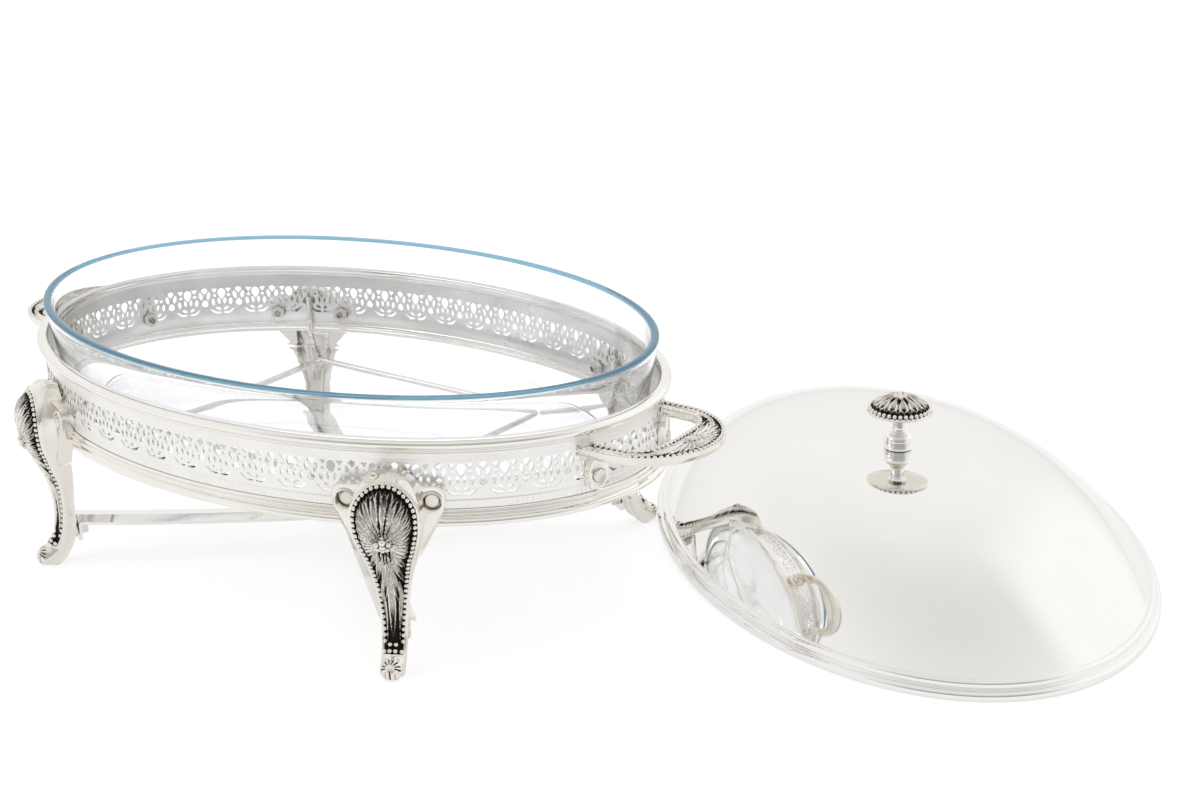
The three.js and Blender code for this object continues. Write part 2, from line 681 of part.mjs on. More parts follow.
// A hanger runs down inside the band from behind a leg, then in and down to the loop's corner
function cradleHanger(bearing) {
  const distance = oval.distanceAt(bearing);
  const behindBand = insideFace - CRADLE_WIRE;
  const cornerShare = Math.SQRT1_2;
  const corner = new THREE.Vector3(
    Math.sign(Math.cos(bearing)) * (CRADLE_HALF_LENGTH - CRADLE_CORNER * (1 - cornerShare)),
    Math.sign(Math.sin(bearing)) * (CRADLE_HALF_WIDTH - CRADLE_CORNER * (1 - cornerShare)),
    CRADLE_HEIGHT,
  );
  const top = oval.pointAt(distance, behindBand, HANGER_TOP);
  const underRim = oval.pointAt(distance, behindBand, LOWER_RIM_BOTTOM);
  const elbow = underRim.clone().setZ(CRADLE_HEIGHT);
  const inward = corner.clone().sub(elbow).normalize();
  const run = elbow.clone().addScaledVector(inward, HANGER_ELBOW);
  const foot = corner.clone().addScaledVector(inward, -2 * CRADLE_WIRE - SEAT);
  const path = new THREE.CurvePath();
  path.add(new THREE.LineCurve3(top, underRim));
  path.add(new THREE.QuadraticBezierCurve3(underRim, elbow, run));
  path.add(new THREE.LineCurve3(run, foot));
  return wireAlong(path, 10);
}

// Crossed straps: one flat bar with a lengthwise crease that sags towards the crossing, its ends bent down
// along the legs' backs

const tabFace = LEG_BOSS_FACE - SEAT;
const tabBack = tabFace - STRAP_THICKNESS;

function strap(bearing, sag) {
  const place = oval.frameAt(bearing);
  const end = new THREE.Vector3(0, tabFace, 0).applyMatrix4(place);
  const outward = new THREE.Vector3(end.x, end.y, 0).normalize();
  const reach = Math.hypot(end.x, end.y);
  const half = STRAP_WIDTH / 2;
  const section = [
    [-half, 0], [0, STRAP_CREASE], [half, 0], [half, STRAP_THICKNESS], [0, STRAP_CREASE + STRAP_THICKNESS],
    [-half, STRAP_THICKNESS],
  ];
  const across = new THREE.Vector3(outward.y, -outward.x, 0);
  const barPoint = (x, along, z) => new THREE.Vector3(0, 0, STRAP_HEIGHT - sag * (1 - (along / reach) ** 2) + z)
    .addScaledVector(across, x)
    .addScaledVector(outward, along);
  const rows = [];
  for (let i = 0; i <= STRAP_SPANS; i++) {
    const along = ((2 * i) / STRAP_SPANS - 1) * (reach + half);
    rows.push(section.map(([x, z]) => barPoint(x, along, z)));
  }
  const closed = (along) => [barPoint(0, along, STRAP_CREASE + STRAP_THICKNESS / 2)];
  let bar = toSolid(skinOverRows([closed(-reach - half), ...rows, closed(reach + half)], false));
  const placeOpposite = new THREE.Matrix4().makeRotationZ(Math.PI).multiply(place);
  for (const frame of [place, placeOpposite]) {
    const beyond = new THREE.BoxGeometry(80, 40, 40).translate(0, tabFace + 20, STRAP_HEIGHT);
    bar = bar.subtract(toSolid(beyond.applyMatrix4(frame)));
    const tabTop = STRAP_HEIGHT + STRAP_THICKNESS;
    const tab = standingPlate([
      [-TAB_WIDTH / 2, tabTop], [-TAB_WIDTH / 2, STRAP_BOLT_HEIGHT - TAB_DROP + 3],
      [-TAB_WIDTH / 4, STRAP_BOLT_HEIGHT - TAB_DROP], [TAB_WIDTH / 4, STRAP_BOLT_HEIGHT - TAB_DROP],
      [TAB_WIDTH / 2, STRAP_BOLT_HEIGHT - TAB_DROP + 3], [TAB_WIDTH / 2, tabTop],
    ], tabBack, tabFace);
    const bore = plainCylinder(STRAP_BOLT_RADIUS + SEAT, tabBack - 5, tabFace + 5)
      .applyMatrix4(zToOutward).translate(0, 0, STRAP_BOLT_HEIGHT);
    bar = bar.add(toSolid(tab.applyMatrix4(frame)))
      .subtract(toSolid(bore.applyMatrix4(frame)));
  }
  const centreBore = plainCylinder(HOLDER_SCREW_RADIUS + SEAT, STRAP_HEIGHT - sag - 5, STRAP_HEIGHT + 10);
  return toGeometry(bar.subtract(toSolid(centreBore)));
}

const lowerStrapSag = STRAP_SAG;
const upperStrapSag = STRAP_SAG - STRAP_CREASE - STRAP_THICKNESS - SEAT;
const lowerStrapHeight = STRAP_HEIGHT - lowerStrapSag;
const upperStrapHeight = STRAP_HEIGHT - upperStrapSag;

// Hexagonal bolt that holds a strap's tab to the back of a leg, in the leg's frame
function strapBolt() {
  const underHead = tabBack - SEAT;
  return turned([
    [0, underHead - STRAP_BOLT_HEAD_HEIGHT], [STRAP_BOLT_HEAD_RADIUS, underHead - STRAP_BOLT_HEAD_HEIGHT],
    [STRAP_BOLT_HEAD_RADIUS, underHead], [STRAP_BOLT_RADIUS, underHead], [STRAP_BOLT_RADIUS, STRAP_BOLT_GRIP],
    [0, STRAP_BOLT_GRIP],
  ], 6).applyMatrix4(zToOutward).translate(0, 0, STRAP_BOLT_HEIGHT);
}

// Tea light and its holder, on the crossing of the straps

const holderFloor = upperStrapHeight + STRAP_CREASE + STRAP_THICKNESS + SEAT;
const holderRadius = TEALIGHT_RADIUS + HOLDER_CLEARANCE + HOLDER_WALL;
const tealightFloor = holderFloor + HOLDER_WALL + SEAT + HOLDER_SCREW_HEAD_HEIGHT + SEAT;

function tealightHolder() {
  const bore = HOLDER_SCREW_RADIUS + SEAT;
  const inside = holderRadius - HOLDER_WALL;
  return turned([
    [bore, holderFloor], [holderRadius - 1.5, holderFloor], [holderRadius, holderFloor + 1.5],
    [holderRadius, holderFloor + HOLDER_DEPTH], [inside, holderFloor + HOLDER_DEPTH],
    [inside, holderFloor + HOLDER_WALL], [bore, holderFloor + HOLDER_WALL], [bore, holderFloor],
  ], KNOB_SEGMENTS);
}

function holderScrew() {
  const tip = lowerStrapHeight - 6;
  const underHead = holderFloor + HOLDER_WALL + SEAT;
  return turned([
    [0, tip], [HOLDER_SCREW_RADIUS, tip], [HOLDER_SCREW_RADIUS, underHead],
    [HOLDER_SCREW_HEAD_RADIUS, underHead], [HOLDER_SCREW_HEAD_RADIUS, underHead + HOLDER_SCREW_HEAD_HEIGHT],
    [0, underHead + HOLDER_SCREW_HEAD_HEIGHT],
  ], ROUND_SEGMENTS);
}

function holderNut() {
  const bore = HOLDER_SCREW_RADIUS + SEAT;
  const top = lowerStrapHeight - SEAT;
  const bottom = top - 3;
  return turned([
    [bore, bottom], [STRAP_BOLT_HEAD_RADIUS, bottom], [STRAP_BOLT_HEAD_RADIUS, top], [bore, top], [bore, bottom],
  ], 6);
}

function tealightCup() {
  const inside = TEALIGHT_RADIUS - TEALIGHT_WALL;
  return turned([
    [0, tealightFloor], [TEALIGHT_RADIUS, tealightFloor], [TEALIGHT_RADIUS, tealightFloor + TEALIGHT_HEIGHT],
    [inside, tealightFloor + TEALIGHT_HEIGHT], [inside, tealightFloor + TEALIGHT_WALL],
    [0, tealightFloor + TEALIGHT_WALL],
  ], KNOB_SEGMENTS);
}

function tealightWax() {
  const radius = TEALIGHT_RADIUS - TEALIGHT_WALL - SEAT;
  const bottom = tealightFloor + TEALIGHT_WALL + SEAT;
  const top = bottom + WAX_HEIGHT;
  return turned([
    [0, bottom], [radius, bottom], [radius, top], [WICK_RADIUS, top - 0.4], [WICK_RADIUS, top + WICK_LENGTH],
    [0, top + WICK_LENGTH],
  ], KNOB_SEGMENTS);
}

// Glass dish, as oval rings from the middle of its underside round the rim to the middle of its floor

function ovalRing(halfLength, halfWidth, height, segments) {
  const row = [];
  for (let i = 0; i < segments; i++) {
    const turn = (i / segments) * 2 * Math.PI;
    row.push(new THREE.Vector3(halfLength * Math.cos(turn), halfWidth * Math.sin(turn), height));
  }
  return row;
}

const glassBottom = CRADLE_HEIGHT + CRADLE_WIRE + SEAT;

function glassDish() {
  const ring = (inset, height) => ovalRing(
    GLASS_HALF_LENGTH - inset, GLASS_HALF_WIDTH - inset, height, GLASS_SEGMENTS,
  );
  const rimBottom = GLASS_RIM_TOP - GLASS_RIM_HEIGHT;
  const insideShoulder = GLASS_SHOULDER_INSET + GLASS_WALL;
  const rimInside = Math.max(GLASS_RIM_WIDTH, insideShoulder - 0.6);
  return skinOverRows([
    [new THREE.Vector3(0, 0, glassBottom)],
    ring(GLASS_FOOT_INSET, glassBottom),
    ring(GLASS_FOOT_INSET - 9, glassBottom + 2.6),
    ring(GLASS_WAIST_INSET, GLASS_WAIST_HEIGHT),
    ring(GLASS_SHOULDER_INSET, rimBottom - 1),
    ring(0.6, rimBottom + 0.6),
    ring(0, GLASS_RIM_TOP - 1.6),
    ring(1.6, GLASS_RIM_TOP),
    ring(rimInside - 2.0, GLASS_RIM_TOP),
    ring(rimInside, GLASS_RIM_TOP - 2.0),
    ring(GLASS_WAIST_INSET + GLASS_WALL, GLASS_WAIST_HEIGHT + 2),
    ring(GLASS_FOOT_INSET - 5, glassBottom + GLASS_FLOOR + 3),
    ring(GLASS_FOOT_INSET + 4, glassBottom + GLASS_FLOOR),
    [new THREE.Vector3(0, 0, glassBottom + GLASS_FLOOR)],
  ], false);
}

// Lid, in its own frame: open side down on the table

function lidDomeHeight(share) {
  return LID_STEP_HEIGHT + (LID_DOME_HEIGHT - LID_STEP_HEIGHT) * (1 - share ** LID_FULLNESS);
}

function lidShell() {
  const edge = (inset, height) => ovalRing(
    LID_HALF_LENGTH - inset, LID_HALF_WIDTH - inset, height, LID_SEGMENTS,
  );
  const dome = (share, drop) => ovalRing(
    share * (LID_HALF_LENGTH - LID_FOOT_INSET - drop), share * (LID_HALF_WIDTH - LID_FOOT_INSET - drop),
    lidDomeHeight(share) - drop, LID_SEGMENTS,
  );
  const shares = [0.97, 0.9, 0.78, 0.6, 0.35];
  const outside = [
    edge(1.2, 0), edge(0, 1.6), edge(0.6, LID_BEAD_HEIGHT - 0.6), edge(LID_STEP_INSET, LID_BEAD_HEIGHT),
    edge(LID_STEP_INSET + 0.6, LID_STEP_HEIGHT), edge(LID_FOOT_INSET, LID_STEP_HEIGHT - 0.2),
    ...shares.map((share) => dome(share, 0)),
    [new THREE.Vector3(0, 0, LID_DOME_HEIGHT)],
  ];
  const inside = [
    [new THREE.Vector3(0, 0, LID_DOME_HEIGHT - LID_SHEET)],
    ...shares.toReversed().map((share) => dome(share, LID_SHEET)),
    edge(LID_FOOT_INSET + LID_SHEET, LID_STEP_HEIGHT - 0.2 - LID_SHEET),
    edge(LID_STEP_INSET + LID_SHEET, 0),
  ];
  const shell = toSolid(skinOverRows([...outside, ...inside], true));
  const hole = plainCylinder(KNOB_ROD_RADIUS + SEAT, LID_DOME_HEIGHT - 10, LID_DOME_HEIGHT + 10);
  return toGeometry(shell.subtract(toSolid(hole)));
}

// Lid knob: a cast cap whose threaded rod passes through the turned stem and the lid to a nut

const stemFoot = LID_DOME_HEIGHT + SEAT;
const stemTop = stemFoot + KNOB_STEM_HEIGHT;
const lidInsideTop = LID_DOME_HEIGHT - LID_SHEET - SEAT;
const knobNutBottom = lidInsideTop - KNOB_NUT_HEIGHT;

function knobStem() {
  const bore = KNOB_ROD_RADIUS + SEAT;
  const outside = [
    [KNOB_FOOT_RADIUS, 0], [KNOB_BULB_RADIUS, 0.12], [KNOB_BULB_RADIUS, 0.27], [KNOB_BULB_RADIUS - 1.6, 0.4],
    [KNOB_NECK_RADIUS, 0.49], [KNOB_NECK_RADIUS, 0.85], [KNOB_COLLAR_RADIUS, 1],
  ].map(([radius, share]) => [radius, stemFoot + share * KNOB_STEM_HEIGHT]);
  return turned([[bore, stemFoot], ...outside, [bore, stemTop], [bore, stemFoot]], KNOB_SEGMENTS);
}

function knobCap() {
  const under = stemTop + SEAT;
  const tip = knobNutBottom - 1.5;
  const radius = KNOB_CAP_RADIUS;
  const rise = (share) => under + 1.0 + (KNOB_CAP_HEIGHT - 1.0) * share;
  return turned([
    [0, tip], [KNOB_ROD_RADIUS, tip], [KNOB_ROD_RADIUS, under], [radius - 1.2, under],
    [radius, rise(0.06)], [radius - 0.5, rise(0.2)], [radius * 0.88, rise(0.46)], [radius * 0.68, rise(0.74)],
    [radius * 0.4, rise(0.93)], [0, rise(1)],
  ], KNOB_SEGMENTS);
}

function knobNut() {
  const bore = KNOB_ROD_RADIUS + SEAT;
  return turned([
    [bore, knobNutBottom], [KNOB_NUT_RADIUS, knobNutBottom], [KNOB_NUT_RADIUS, lidInsideTop],
    [bore, lidInsideTop], [bore, knobNutBottom],
  ], 6);
}

// Assembly

const part = new THREE.Group();
const stand = new THREE.Group();
const lid = new THREE.Group();
const lidBeside = new THREE.Vector3().setFromMatrixPosition(oval.frameAt(legBearings[3]));
lid.position.set(lidBeside.x + LID_BESIDE_LEG_X, lidBeside.y + LID_BESIDE_LEG_Y, 0);
lid.rotation.z = toRadians(LID_TURN);
part.add(stand, lid);

function addPiece(group, name, geometry, material, place) {
  const mesh = new THREE.Mesh(geometry, material);
  mesh.name = name;
  if (place) mesh.applyMatrix4(place);
  group.add(mesh);
}

addPiece(stand, 'gallery_band', galleryBand(), silver);
addPiece(stand, 'upper_rim', upperRim(), silver);
addPiece(stand, 'lower_rim', lowerRim(), silver);
addPiece(stand, 'cradle_loop', cradleLoop(), wire);

const legGeometry = leg();
const legScrewGeometry = bandScrew(EAR_THICKNESS - SCREW_RECESS).applyMatrix4(zToOutward);
const lugScrewGeometry = bandScrew(LUG_THICKNESS).applyMatrix4(zToOutward);
const bandNutGeometry = bandNut().applyMatrix4(zToOutward);
const strapBoltGeometry = strapBolt();

legBearings.forEach((bearing, i) => {
  const name = legNames[i];
  const place = oval.frameAt(bearing);
  addPiece(stand, `leg_${name}`, legGeometry, castSilver, place);
  addPiece(stand, `cradle_hanger_${name}`, cradleHanger(bearing), wire);
  addPiece(stand, `strap_bolt_${name}`, strapBoltGeometry, fastener, place);
  for (const [hand, side] of [['a', -1], ['b', 1]]) {
    const screwPlace = place.clone().multiply(earFrame(side));
    addPiece(stand, `leg_screw_${name}_${hand}`, legScrewGeometry, castSilver, screwPlace);
    addPiece(stand, `leg_nut_${name}_${hand}`, bandNutGeometry, fastener, screwPlace);
  }
});

const handleGeometry = handle();
for (const { name, turn } of handleSides) {
  addPiece(stand, `handle_${name}`, handleGeometry, castSilver, new THREE.Matrix4().makeRotationZ(turn));
  for (const [hand, side] of [['a', -1], ['b', 1]]) {
    const screwPlace = oval.frameAt(turn + side * toRadians(LUG_BEARING))
      .multiply(new THREE.Matrix4().makeTranslation(0, 0, LUG_SCREW_HEIGHT));
    addPiece(stand, `handle_screw_${name}_${hand}`, lugScrewGeometry, castSilver, screwPlace);
    addPiece(stand, `handle_nut_${name}_${hand}`, bandNutGeometry, fastener, screwPlace);
  }
}

addPiece(stand, 'strap_lower', strap(legBearings[3], lowerStrapSag), silver);
addPiece(stand, 'strap_upper', strap(legBearings[0], upperStrapSag), silver);
addPiece(stand, 'tealight_holder', tealightHolder(), silver);
addPiece(stand, 'holder_screw', holderScrew(), fastener);
addPiece(stand, 'holder_nut', holderNut(), fastener);
addPiece(stand, 'tealight_cup', tealightCup(), aluminium);
addPiece(stand, 'tealight_wax', tealightWax(), wax);
addPiece(stand, 'glass_dish', glassDish(), glass);

addPiece(lid, 'lid_shell', lidShell(), silver);
addPiece(lid, 'knob_stem', knobStem(), silver);
addPiece(lid, 'knob_cap', knobCap(), castSilver);
addPiece(lid, 'knob_nut', knobNut(), fastener);

// The origin lies on the table under the middle of the whole set
const footprint = new THREE.Box3().setFromObject(part, true).getCenter(new THREE.Vector3());
part.position.set(-footprint.x, -footprint.y, 0);

export default part;
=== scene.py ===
import math

import bmesh
import bpy
import numpy as np
from mathutils import Matrix, Vector
from mathutils.geometry import delaunay_2d_cdt


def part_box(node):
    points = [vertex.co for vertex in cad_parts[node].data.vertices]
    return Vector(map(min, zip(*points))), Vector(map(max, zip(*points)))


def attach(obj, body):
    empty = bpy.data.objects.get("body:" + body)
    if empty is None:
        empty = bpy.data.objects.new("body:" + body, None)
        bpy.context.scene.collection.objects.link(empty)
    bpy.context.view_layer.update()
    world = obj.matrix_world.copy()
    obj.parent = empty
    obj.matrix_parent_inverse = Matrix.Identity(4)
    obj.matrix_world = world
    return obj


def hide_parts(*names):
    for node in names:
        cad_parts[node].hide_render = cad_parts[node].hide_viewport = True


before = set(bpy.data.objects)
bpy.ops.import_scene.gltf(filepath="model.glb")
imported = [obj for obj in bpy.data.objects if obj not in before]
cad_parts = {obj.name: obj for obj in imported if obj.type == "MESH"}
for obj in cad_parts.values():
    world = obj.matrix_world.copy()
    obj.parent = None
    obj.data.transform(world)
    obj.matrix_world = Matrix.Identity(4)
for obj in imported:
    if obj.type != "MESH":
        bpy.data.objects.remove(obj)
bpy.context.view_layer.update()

# Sizes in millimetres; the stand's own frame has its middle on the table and its long axis along X
MM = 0.001

BAND_HALF_LENGTH = 178.0
BAND_HALF_WIDTH = 119.0
BAND_THICKNESS = 1.2
BAND_BOTTOM = 72.4
BAND_TOP = 109.2
PATTERN_REPEATS = 48
PATTERN_PHASE = 0.33
PIERCED_BOTTOM = 82.4
PIERCED_TOP = 100.3

LEG_BEARING = 52.5
LEG_TOE = 19.4
EAR_SPREAD = 19.0
EAR_HEIGHT = 83.4
EAR_THICKNESS = 6.4
RECESS_RADIUS = 4.2
RECESS_DEPTH = 3.6
BOLT_HEAD_RADIUS = 3.2
BOLT_HEAD_HEIGHT = 1.5
LEG_BOSS_RADIUS = 4.6
LEG_BOSS_HEIGHT = 16.5
LEG_FLOWER_HEIGHT = 68.9

HANDLE_REACH = 219.5
HANDLE_SHOULDER = 183.0
HANDLE_HALF_WIDTH = 37.0
HANDLE_OPENING_SHOULDER = 184.0
HANDLE_OPENING_REACH = 200.2
HANDLE_OPENING_HALF_WIDTH = 27.5
HANDLE_BASE = 166.0
HANDLE_TOP = 100.8
HANDLE_THICKNESS = 4.6
HANDLE_FLOWER = (207.6, 0.0)
LUG_BEARING = 13.6
LUG_SCREW_HEIGHT = 86.0
LUG_THICKNESS = 3.0

CRADLE_HALF_LENGTH = 76.0
CRADLE_HALF_WIDTH = 65.0
CRADLE_CORNER = 7.0
CRADLE_WIRE = 1.6
CRADLE_HEIGHT = 64.6
HANGER_TOP = 93.0
HANGER_ELBOW = 16.0
LOWER_RIM_BOTTOM = 70.0

GLASS_HALF_LENGTH = 175.0
GLASS_HALF_WIDTH = 118.4
GLASS_BOTTOM = 66.55
GLASS_RIM_TOP = 130.0

LID_HALF_LENGTH = 185.2
LID_HALF_WIDTH = 122.0
LID_TURN = 134.1
LID_SHEET = 1.3
LID_DOME_HEIGHT = 49.0
LID_STEP_HEIGHT = 8.8
LID_FOOT_INSET = 6.6
LID_FULLNESS = 4.0

KNOB_CAP_RADIUS = 16.7
KNOB_CAP_HEIGHT = 10.2
KNOB_STEM_HEIGHT = 18.6


def middle_of(node):
    low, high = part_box(node)
    return Vector(((low.x + high.x) / 2, (low.y + high.y) / 2, 0.0))


STAND_AT = middle_of("gallery_band")
LID_AT = middle_of("lid_shell")
HOLDER_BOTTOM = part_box("tealight_holder")[0].z / MM
TEALIGHT_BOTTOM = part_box("tealight_cup")[0].z / MM


# Curves and shapes

AXIS_RADIUS = 1e-4
OVAL_SAMPLES = 14401
PETAL_FULLNESS = 0.85
# A wire's end closes on a small ring, this share of its radius wide and this many radii ahead
END_RING = 0.05
END_BULGE = 0.4
BESIDE = (0.31, 0.17, 0.93)
# A bead is painted with shade below this share of its radius under its middle
BEAD_SHADOW = 0.3
AS_BUILT = Matrix.Identity(4)


def full_turn(count):
    return np.linspace(0, 2 * math.pi, count, endpoint=False)


def heading(angle):
    return np.array([math.cos(angle), math.sin(angle)])


def rings_at(reach_x, reach_y, height, turn):
    """Rings round Z from columns of how far they reach along X and Y and how high they lie."""
    x = reach_x * np.cos(turn)
    return np.stack([x, reach_y * np.sin(turn), np.broadcast_to(height, x.shape)], -1)


def reach_along(line):
    """How far along a line each of its points is."""
    return np.concatenate([[0], np.cumsum(np.linalg.norm(np.diff(line, axis=0), axis=1))])


def points_at(line, places):
    """Points of a line at some distances along it."""
    reach = reach_along(line)
    return np.stack([np.interp(places, reach, column) for column in line.T], 1)


def soft_step(value, low, high):
    t = np.clip((value - low) / (high - low), 0, 1)
    return t * t * (3 - 2 * t)


def soft_drop(value, low, high):
    return 1 - soft_step(value, low, high)


def bell(value, middle, width):
    return np.exp(-((value - middle) / width) ** 2)


def warped(share, widest):
    """Shares of a way, warped so that its widest place comes to lie halfway."""
    return share ** (math.log(0.5) / math.log(widest))


class Oval:
    """The band's oval: places by distance along it and by how far out of it they lie."""

    def __init__(self, half_length, half_width):
        self.half_length = half_length
        self.half_width = half_width
        self.turns = np.linspace(0, 2 * math.pi, OVAL_SAMPLES)
        x = half_length * np.cos(self.turns)
        y = half_width * np.sin(self.turns)
        steps = np.hypot(np.diff(x), np.diff(y))
        self.reach = np.concatenate([[0], np.cumsum(steps)])
        self.length = self.reach[-1]

    def at_turn(self, turn, out, height):
        turn, out, height = np.broadcast_arrays(turn, out, height)
        nx = np.cos(turn) / self.half_length
        ny = np.sin(turn) / self.half_width
        size = np.hypot(nx, ny)
        x = self.half_length * np.cos(turn) + out * nx / size
        y = self.half_width * np.sin(turn) + out * ny / size
        return np.stack([x, y, height], -1)

    def at(self, distance, out, height):
        turn = np.interp(np.mod(distance, self.length), self.reach, self.turns)
        return self.at_turn(turn, out, height)

    def bend_radius(self, turn):
        pace = math.hypot(self.half_length * math.sin(turn), self.half_width * math.cos(turn))
        return pace ** 3 / (self.half_length * self.half_width)

    def frame(self, turn):
        """A frame on the band's outer face: its Y points out of the oval and its Z up."""
        here = self.at_turn(turn, 0.0, 0.0)
        out = self.at_turn(turn, 1.0, 0.0) - here
        return Matrix((
            (out[1], out[0], 0, here[0]),
            (-out[0], out[1], 0, here[1]),
            (0, 0, 1, 0),
            (0, 0, 0, 1),
        ))


OVAL = Oval(BAND_HALF_LENGTH, BAND_HALF_WIDTH)
LEG_TURN = math.radians(LEG_BEARING)
LEG_BEND = OVAL.bend_radius(LEG_TURN)
LEG_PLACES = {
    "front_right": -LEG_TURN,
    "front_left": math.pi + LEG_TURN,
    "rear_left": math.pi - LEG_TURN,
    "rear_right": LEG_TURN,
}
HANDLE_TURNS = {"right": 0.0, "left": math.pi}
HANDS = (("a", -1), ("b", 1))
Z_TO_OUT = Matrix.Rotation(-math.pi / 2, 4, "X")


class Shape:
    """Points in millimetres, faces over them, and how black each point is painted, for oxidation and for
    painted shade.
    """

    def __init__(self, points, faces, dark=None):
        self.points = np.asarray(points, float).reshape(-1, 3)
        self.faces = faces
        self.dark = np.zeros(len(self.points)) if dark is None else np.asarray(dark, float).reshape(-1)

    def moved(self, matrix):
        m = np.array(matrix)
        return Shape(self.points @ m[:3, :3].T + m[:3, 3], self.faces, self.dark)


def joined(shapes):
    faces = []
    start = 0
    for shape in shapes:
        faces.extend([tuple(i + start for i in face) for face in shape.faces])
        start += len(shape.points)
    points = np.concatenate([shape.points for shape in shapes])
    return Shape(points, faces, np.concatenate([shape.dark for shape in shapes]))


def grid_shape(points, dark=None, around=False, along=False):
    """Quads over a grid of rows and columns of points, closed around its columns or along its rows."""
    rows, columns = points.shape[:2]
    index = np.arange(rows * columns).reshape(rows, columns)
    if around:
        index = np.hstack([index, index[:, :1]])
    if along:
        index = np.vstack([index, index[:1]])
    quads = np.stack([index[:-1, :-1], index[:-1, 1:], index[1:, 1:], index[1:, :-1]], -1)
    return Shape(points.reshape(-1, 3), [tuple(q) for q in quads.reshape(-1, 4).tolist()], dark)


def smooth_line(points, steps, closed=False):
    """A Catmull-Rom line through the points, with that many steps between two of them."""
    points = np.asarray(points, float)
    if closed:
        padded = np.vstack([points[-1:], points, points[:2]])
    else:
        padded = np.vstack([2 * points[0] - points[1], points, 2 * points[-1] - points[-2]])
    line = []
    for a, b, c, d in zip(padded[:-3], padded[1:-2], padded[2:-1], padded[3:]):
        for t in np.arange(steps) / steps:
            curve = 2 * b + (c - a) * t + (2 * a - 5 * b + 4 * c - d) * t ** 2
            line.append(0.5 * (curve + (3 * b - a - 3 * c + d) * t ** 3))
    if not closed:
        line.append(padded[-2])
    return np.array(line)


def capped(rows, dark):
    """Adds a row drawn together in the middle at either end, so that the skin closes there."""
    first, last = [np.broadcast_to(row.mean(0), row.shape)[None] for row in (rows[0], rows[-1])]
    return np.concatenate([first, rows, last]), np.concatenate([dark[:1], dark, dark[-1:]])


def turned(profile, segments):
    """A round solid about Z from a profile of radius and height; a radius of zero closes on the axis."""
    profile = np.asarray(profile, float)
    radius = np.maximum(profile[:, :1], AXIS_RADIUS)
    return grid_shape(rings_at(radius, radius, profile[:, 1:], full_turn(segments)), around=True)


def tube(path, radius, sides=20, closed=False):
    """A round wire along a path."""
    path = np.asarray(path, float)
    if closed:
        along = np.roll(path, -1, 0) - np.roll(path, 1, 0)
    else:
        along = np.gradient(path, axis=0)
    along /= np.linalg.norm(along, axis=1, keepdims=True)
    side = np.cross(along[0], BESIDE)
    turn = full_turn(sides)[:, None]
    rows = []
    for here, ahead in zip(path, along):
        side = side - ahead * (side @ ahead)
        side /= np.linalg.norm(side)
        up = np.cross(ahead, side)
        rows.append(here + radius * (np.cos(turn) * side + np.sin(turn) * up))
    if closed:
        return grid_shape(np.array(rows), around=True, along=True)
    start = path[0] + (rows[0] - path[0]) * END_RING - along[0] * radius * END_BULGE
    end = path[-1] + (rows[-1] - path[-1]) * END_RING + along[-1] * radius * END_BULGE
    return grid_shape(np.array([start, *rows, end]), around=True)


def ball(centre, radius, segments=10):
    """A bead, with painted shade on its lower side."""
    tilt = np.linspace(-math.pi / 2, math.pi / 2, segments // 2 + 2)[:, None]
    unit = rings_at(np.cos(tilt), np.cos(tilt), np.sin(tilt), full_turn(segments))
    # Painted shade on the underside, darker the more the surface faces down
    shade = np.clip(-BEAD_SHADOW - unit[..., 2], 0, 1)
    return grid_shape(unit * radius + np.asarray(centre, float), shade, around=True)


def petal(start, end, half_width, widest, steps):
    """Outline of a leaf with a point at its start and its end."""
    start, end = np.asarray(start, float), np.asarray(end, float)
    share = np.linspace(0, 1, steps)
    width = half_width * np.sin(math.pi * warped(share, widest)) ** PETAL_FULLNESS
    ahead = (end - start) / np.linalg.norm(end - start)
    side = np.array([-ahead[1], ahead[0]])
    middle = start + share[:, None] * (end - start)
    return np.vstack([middle + width[:, None] * side, (middle - width[:, None] * side)[-2:0:-1]])


def inside_outline(points, outline):
    """Which points lie inside a closed outline."""
    x, y = points[:, 0:1], points[:, 1:2]
    ax, ay = outline[:, 0], outline[:, 1]
    bx, by = np.roll(ax, -1), np.roll(ay, -1)
    crosses = (ay > y) != (by > y)
    slope = np.where(by == ay, 1e-9, by - ay)
    return (crosses & (x < (bx - ax) * (y - ay) / slope + ax)).sum(1) % 2 == 1


def distance_to_line(points, line, closed=False):
    """Distance of each point from a line of short straight pieces, and the share of the way along it."""
    ends = np.vstack([line, line[:1]]) if closed else line
    a, b = ends[:-1], ends[1:]
    ab = b - a
    size = np.maximum((ab ** 2).sum(1), 1e-12)
    best = np.full(len(points), 1e9)
    share = np.zeros(len(points))
    for i in range(len(a)):
        t = np.clip(((points - a[i]) @ ab[i]) / size[i], 0, 1)
        gap = np.linalg.norm(points - a[i] - t[:, None] * ab[i], axis=1)
        nearer = gap < best
        best[nearer] = gap[nearer]
        share[nearer] = (i + t[nearer]) / len(a)
    return best, share


def along_line(line, pitch, closed=False):
    """Points at an even pitch along a line."""
    if closed:
        line = np.vstack([line, line[:1]])
    length = reach_along(line)[-1]
    count = max(1, int(round(length / pitch)))
    return points_at(line, (np.arange(count) + (0 if closed else 0.5)) * length / count)


def free_length(middle, way, low, high, step, fits):
    """How far from a middle a leaf can run along its way, tried from low to high, while all of it fits."""
    good = fits(middle + np.arange(low, high, step)[:, None] * way)
    count = len(good) if good.all() else np.argmin(good)
    return low + step * max(count - 1, 0)


# Leaves in relief

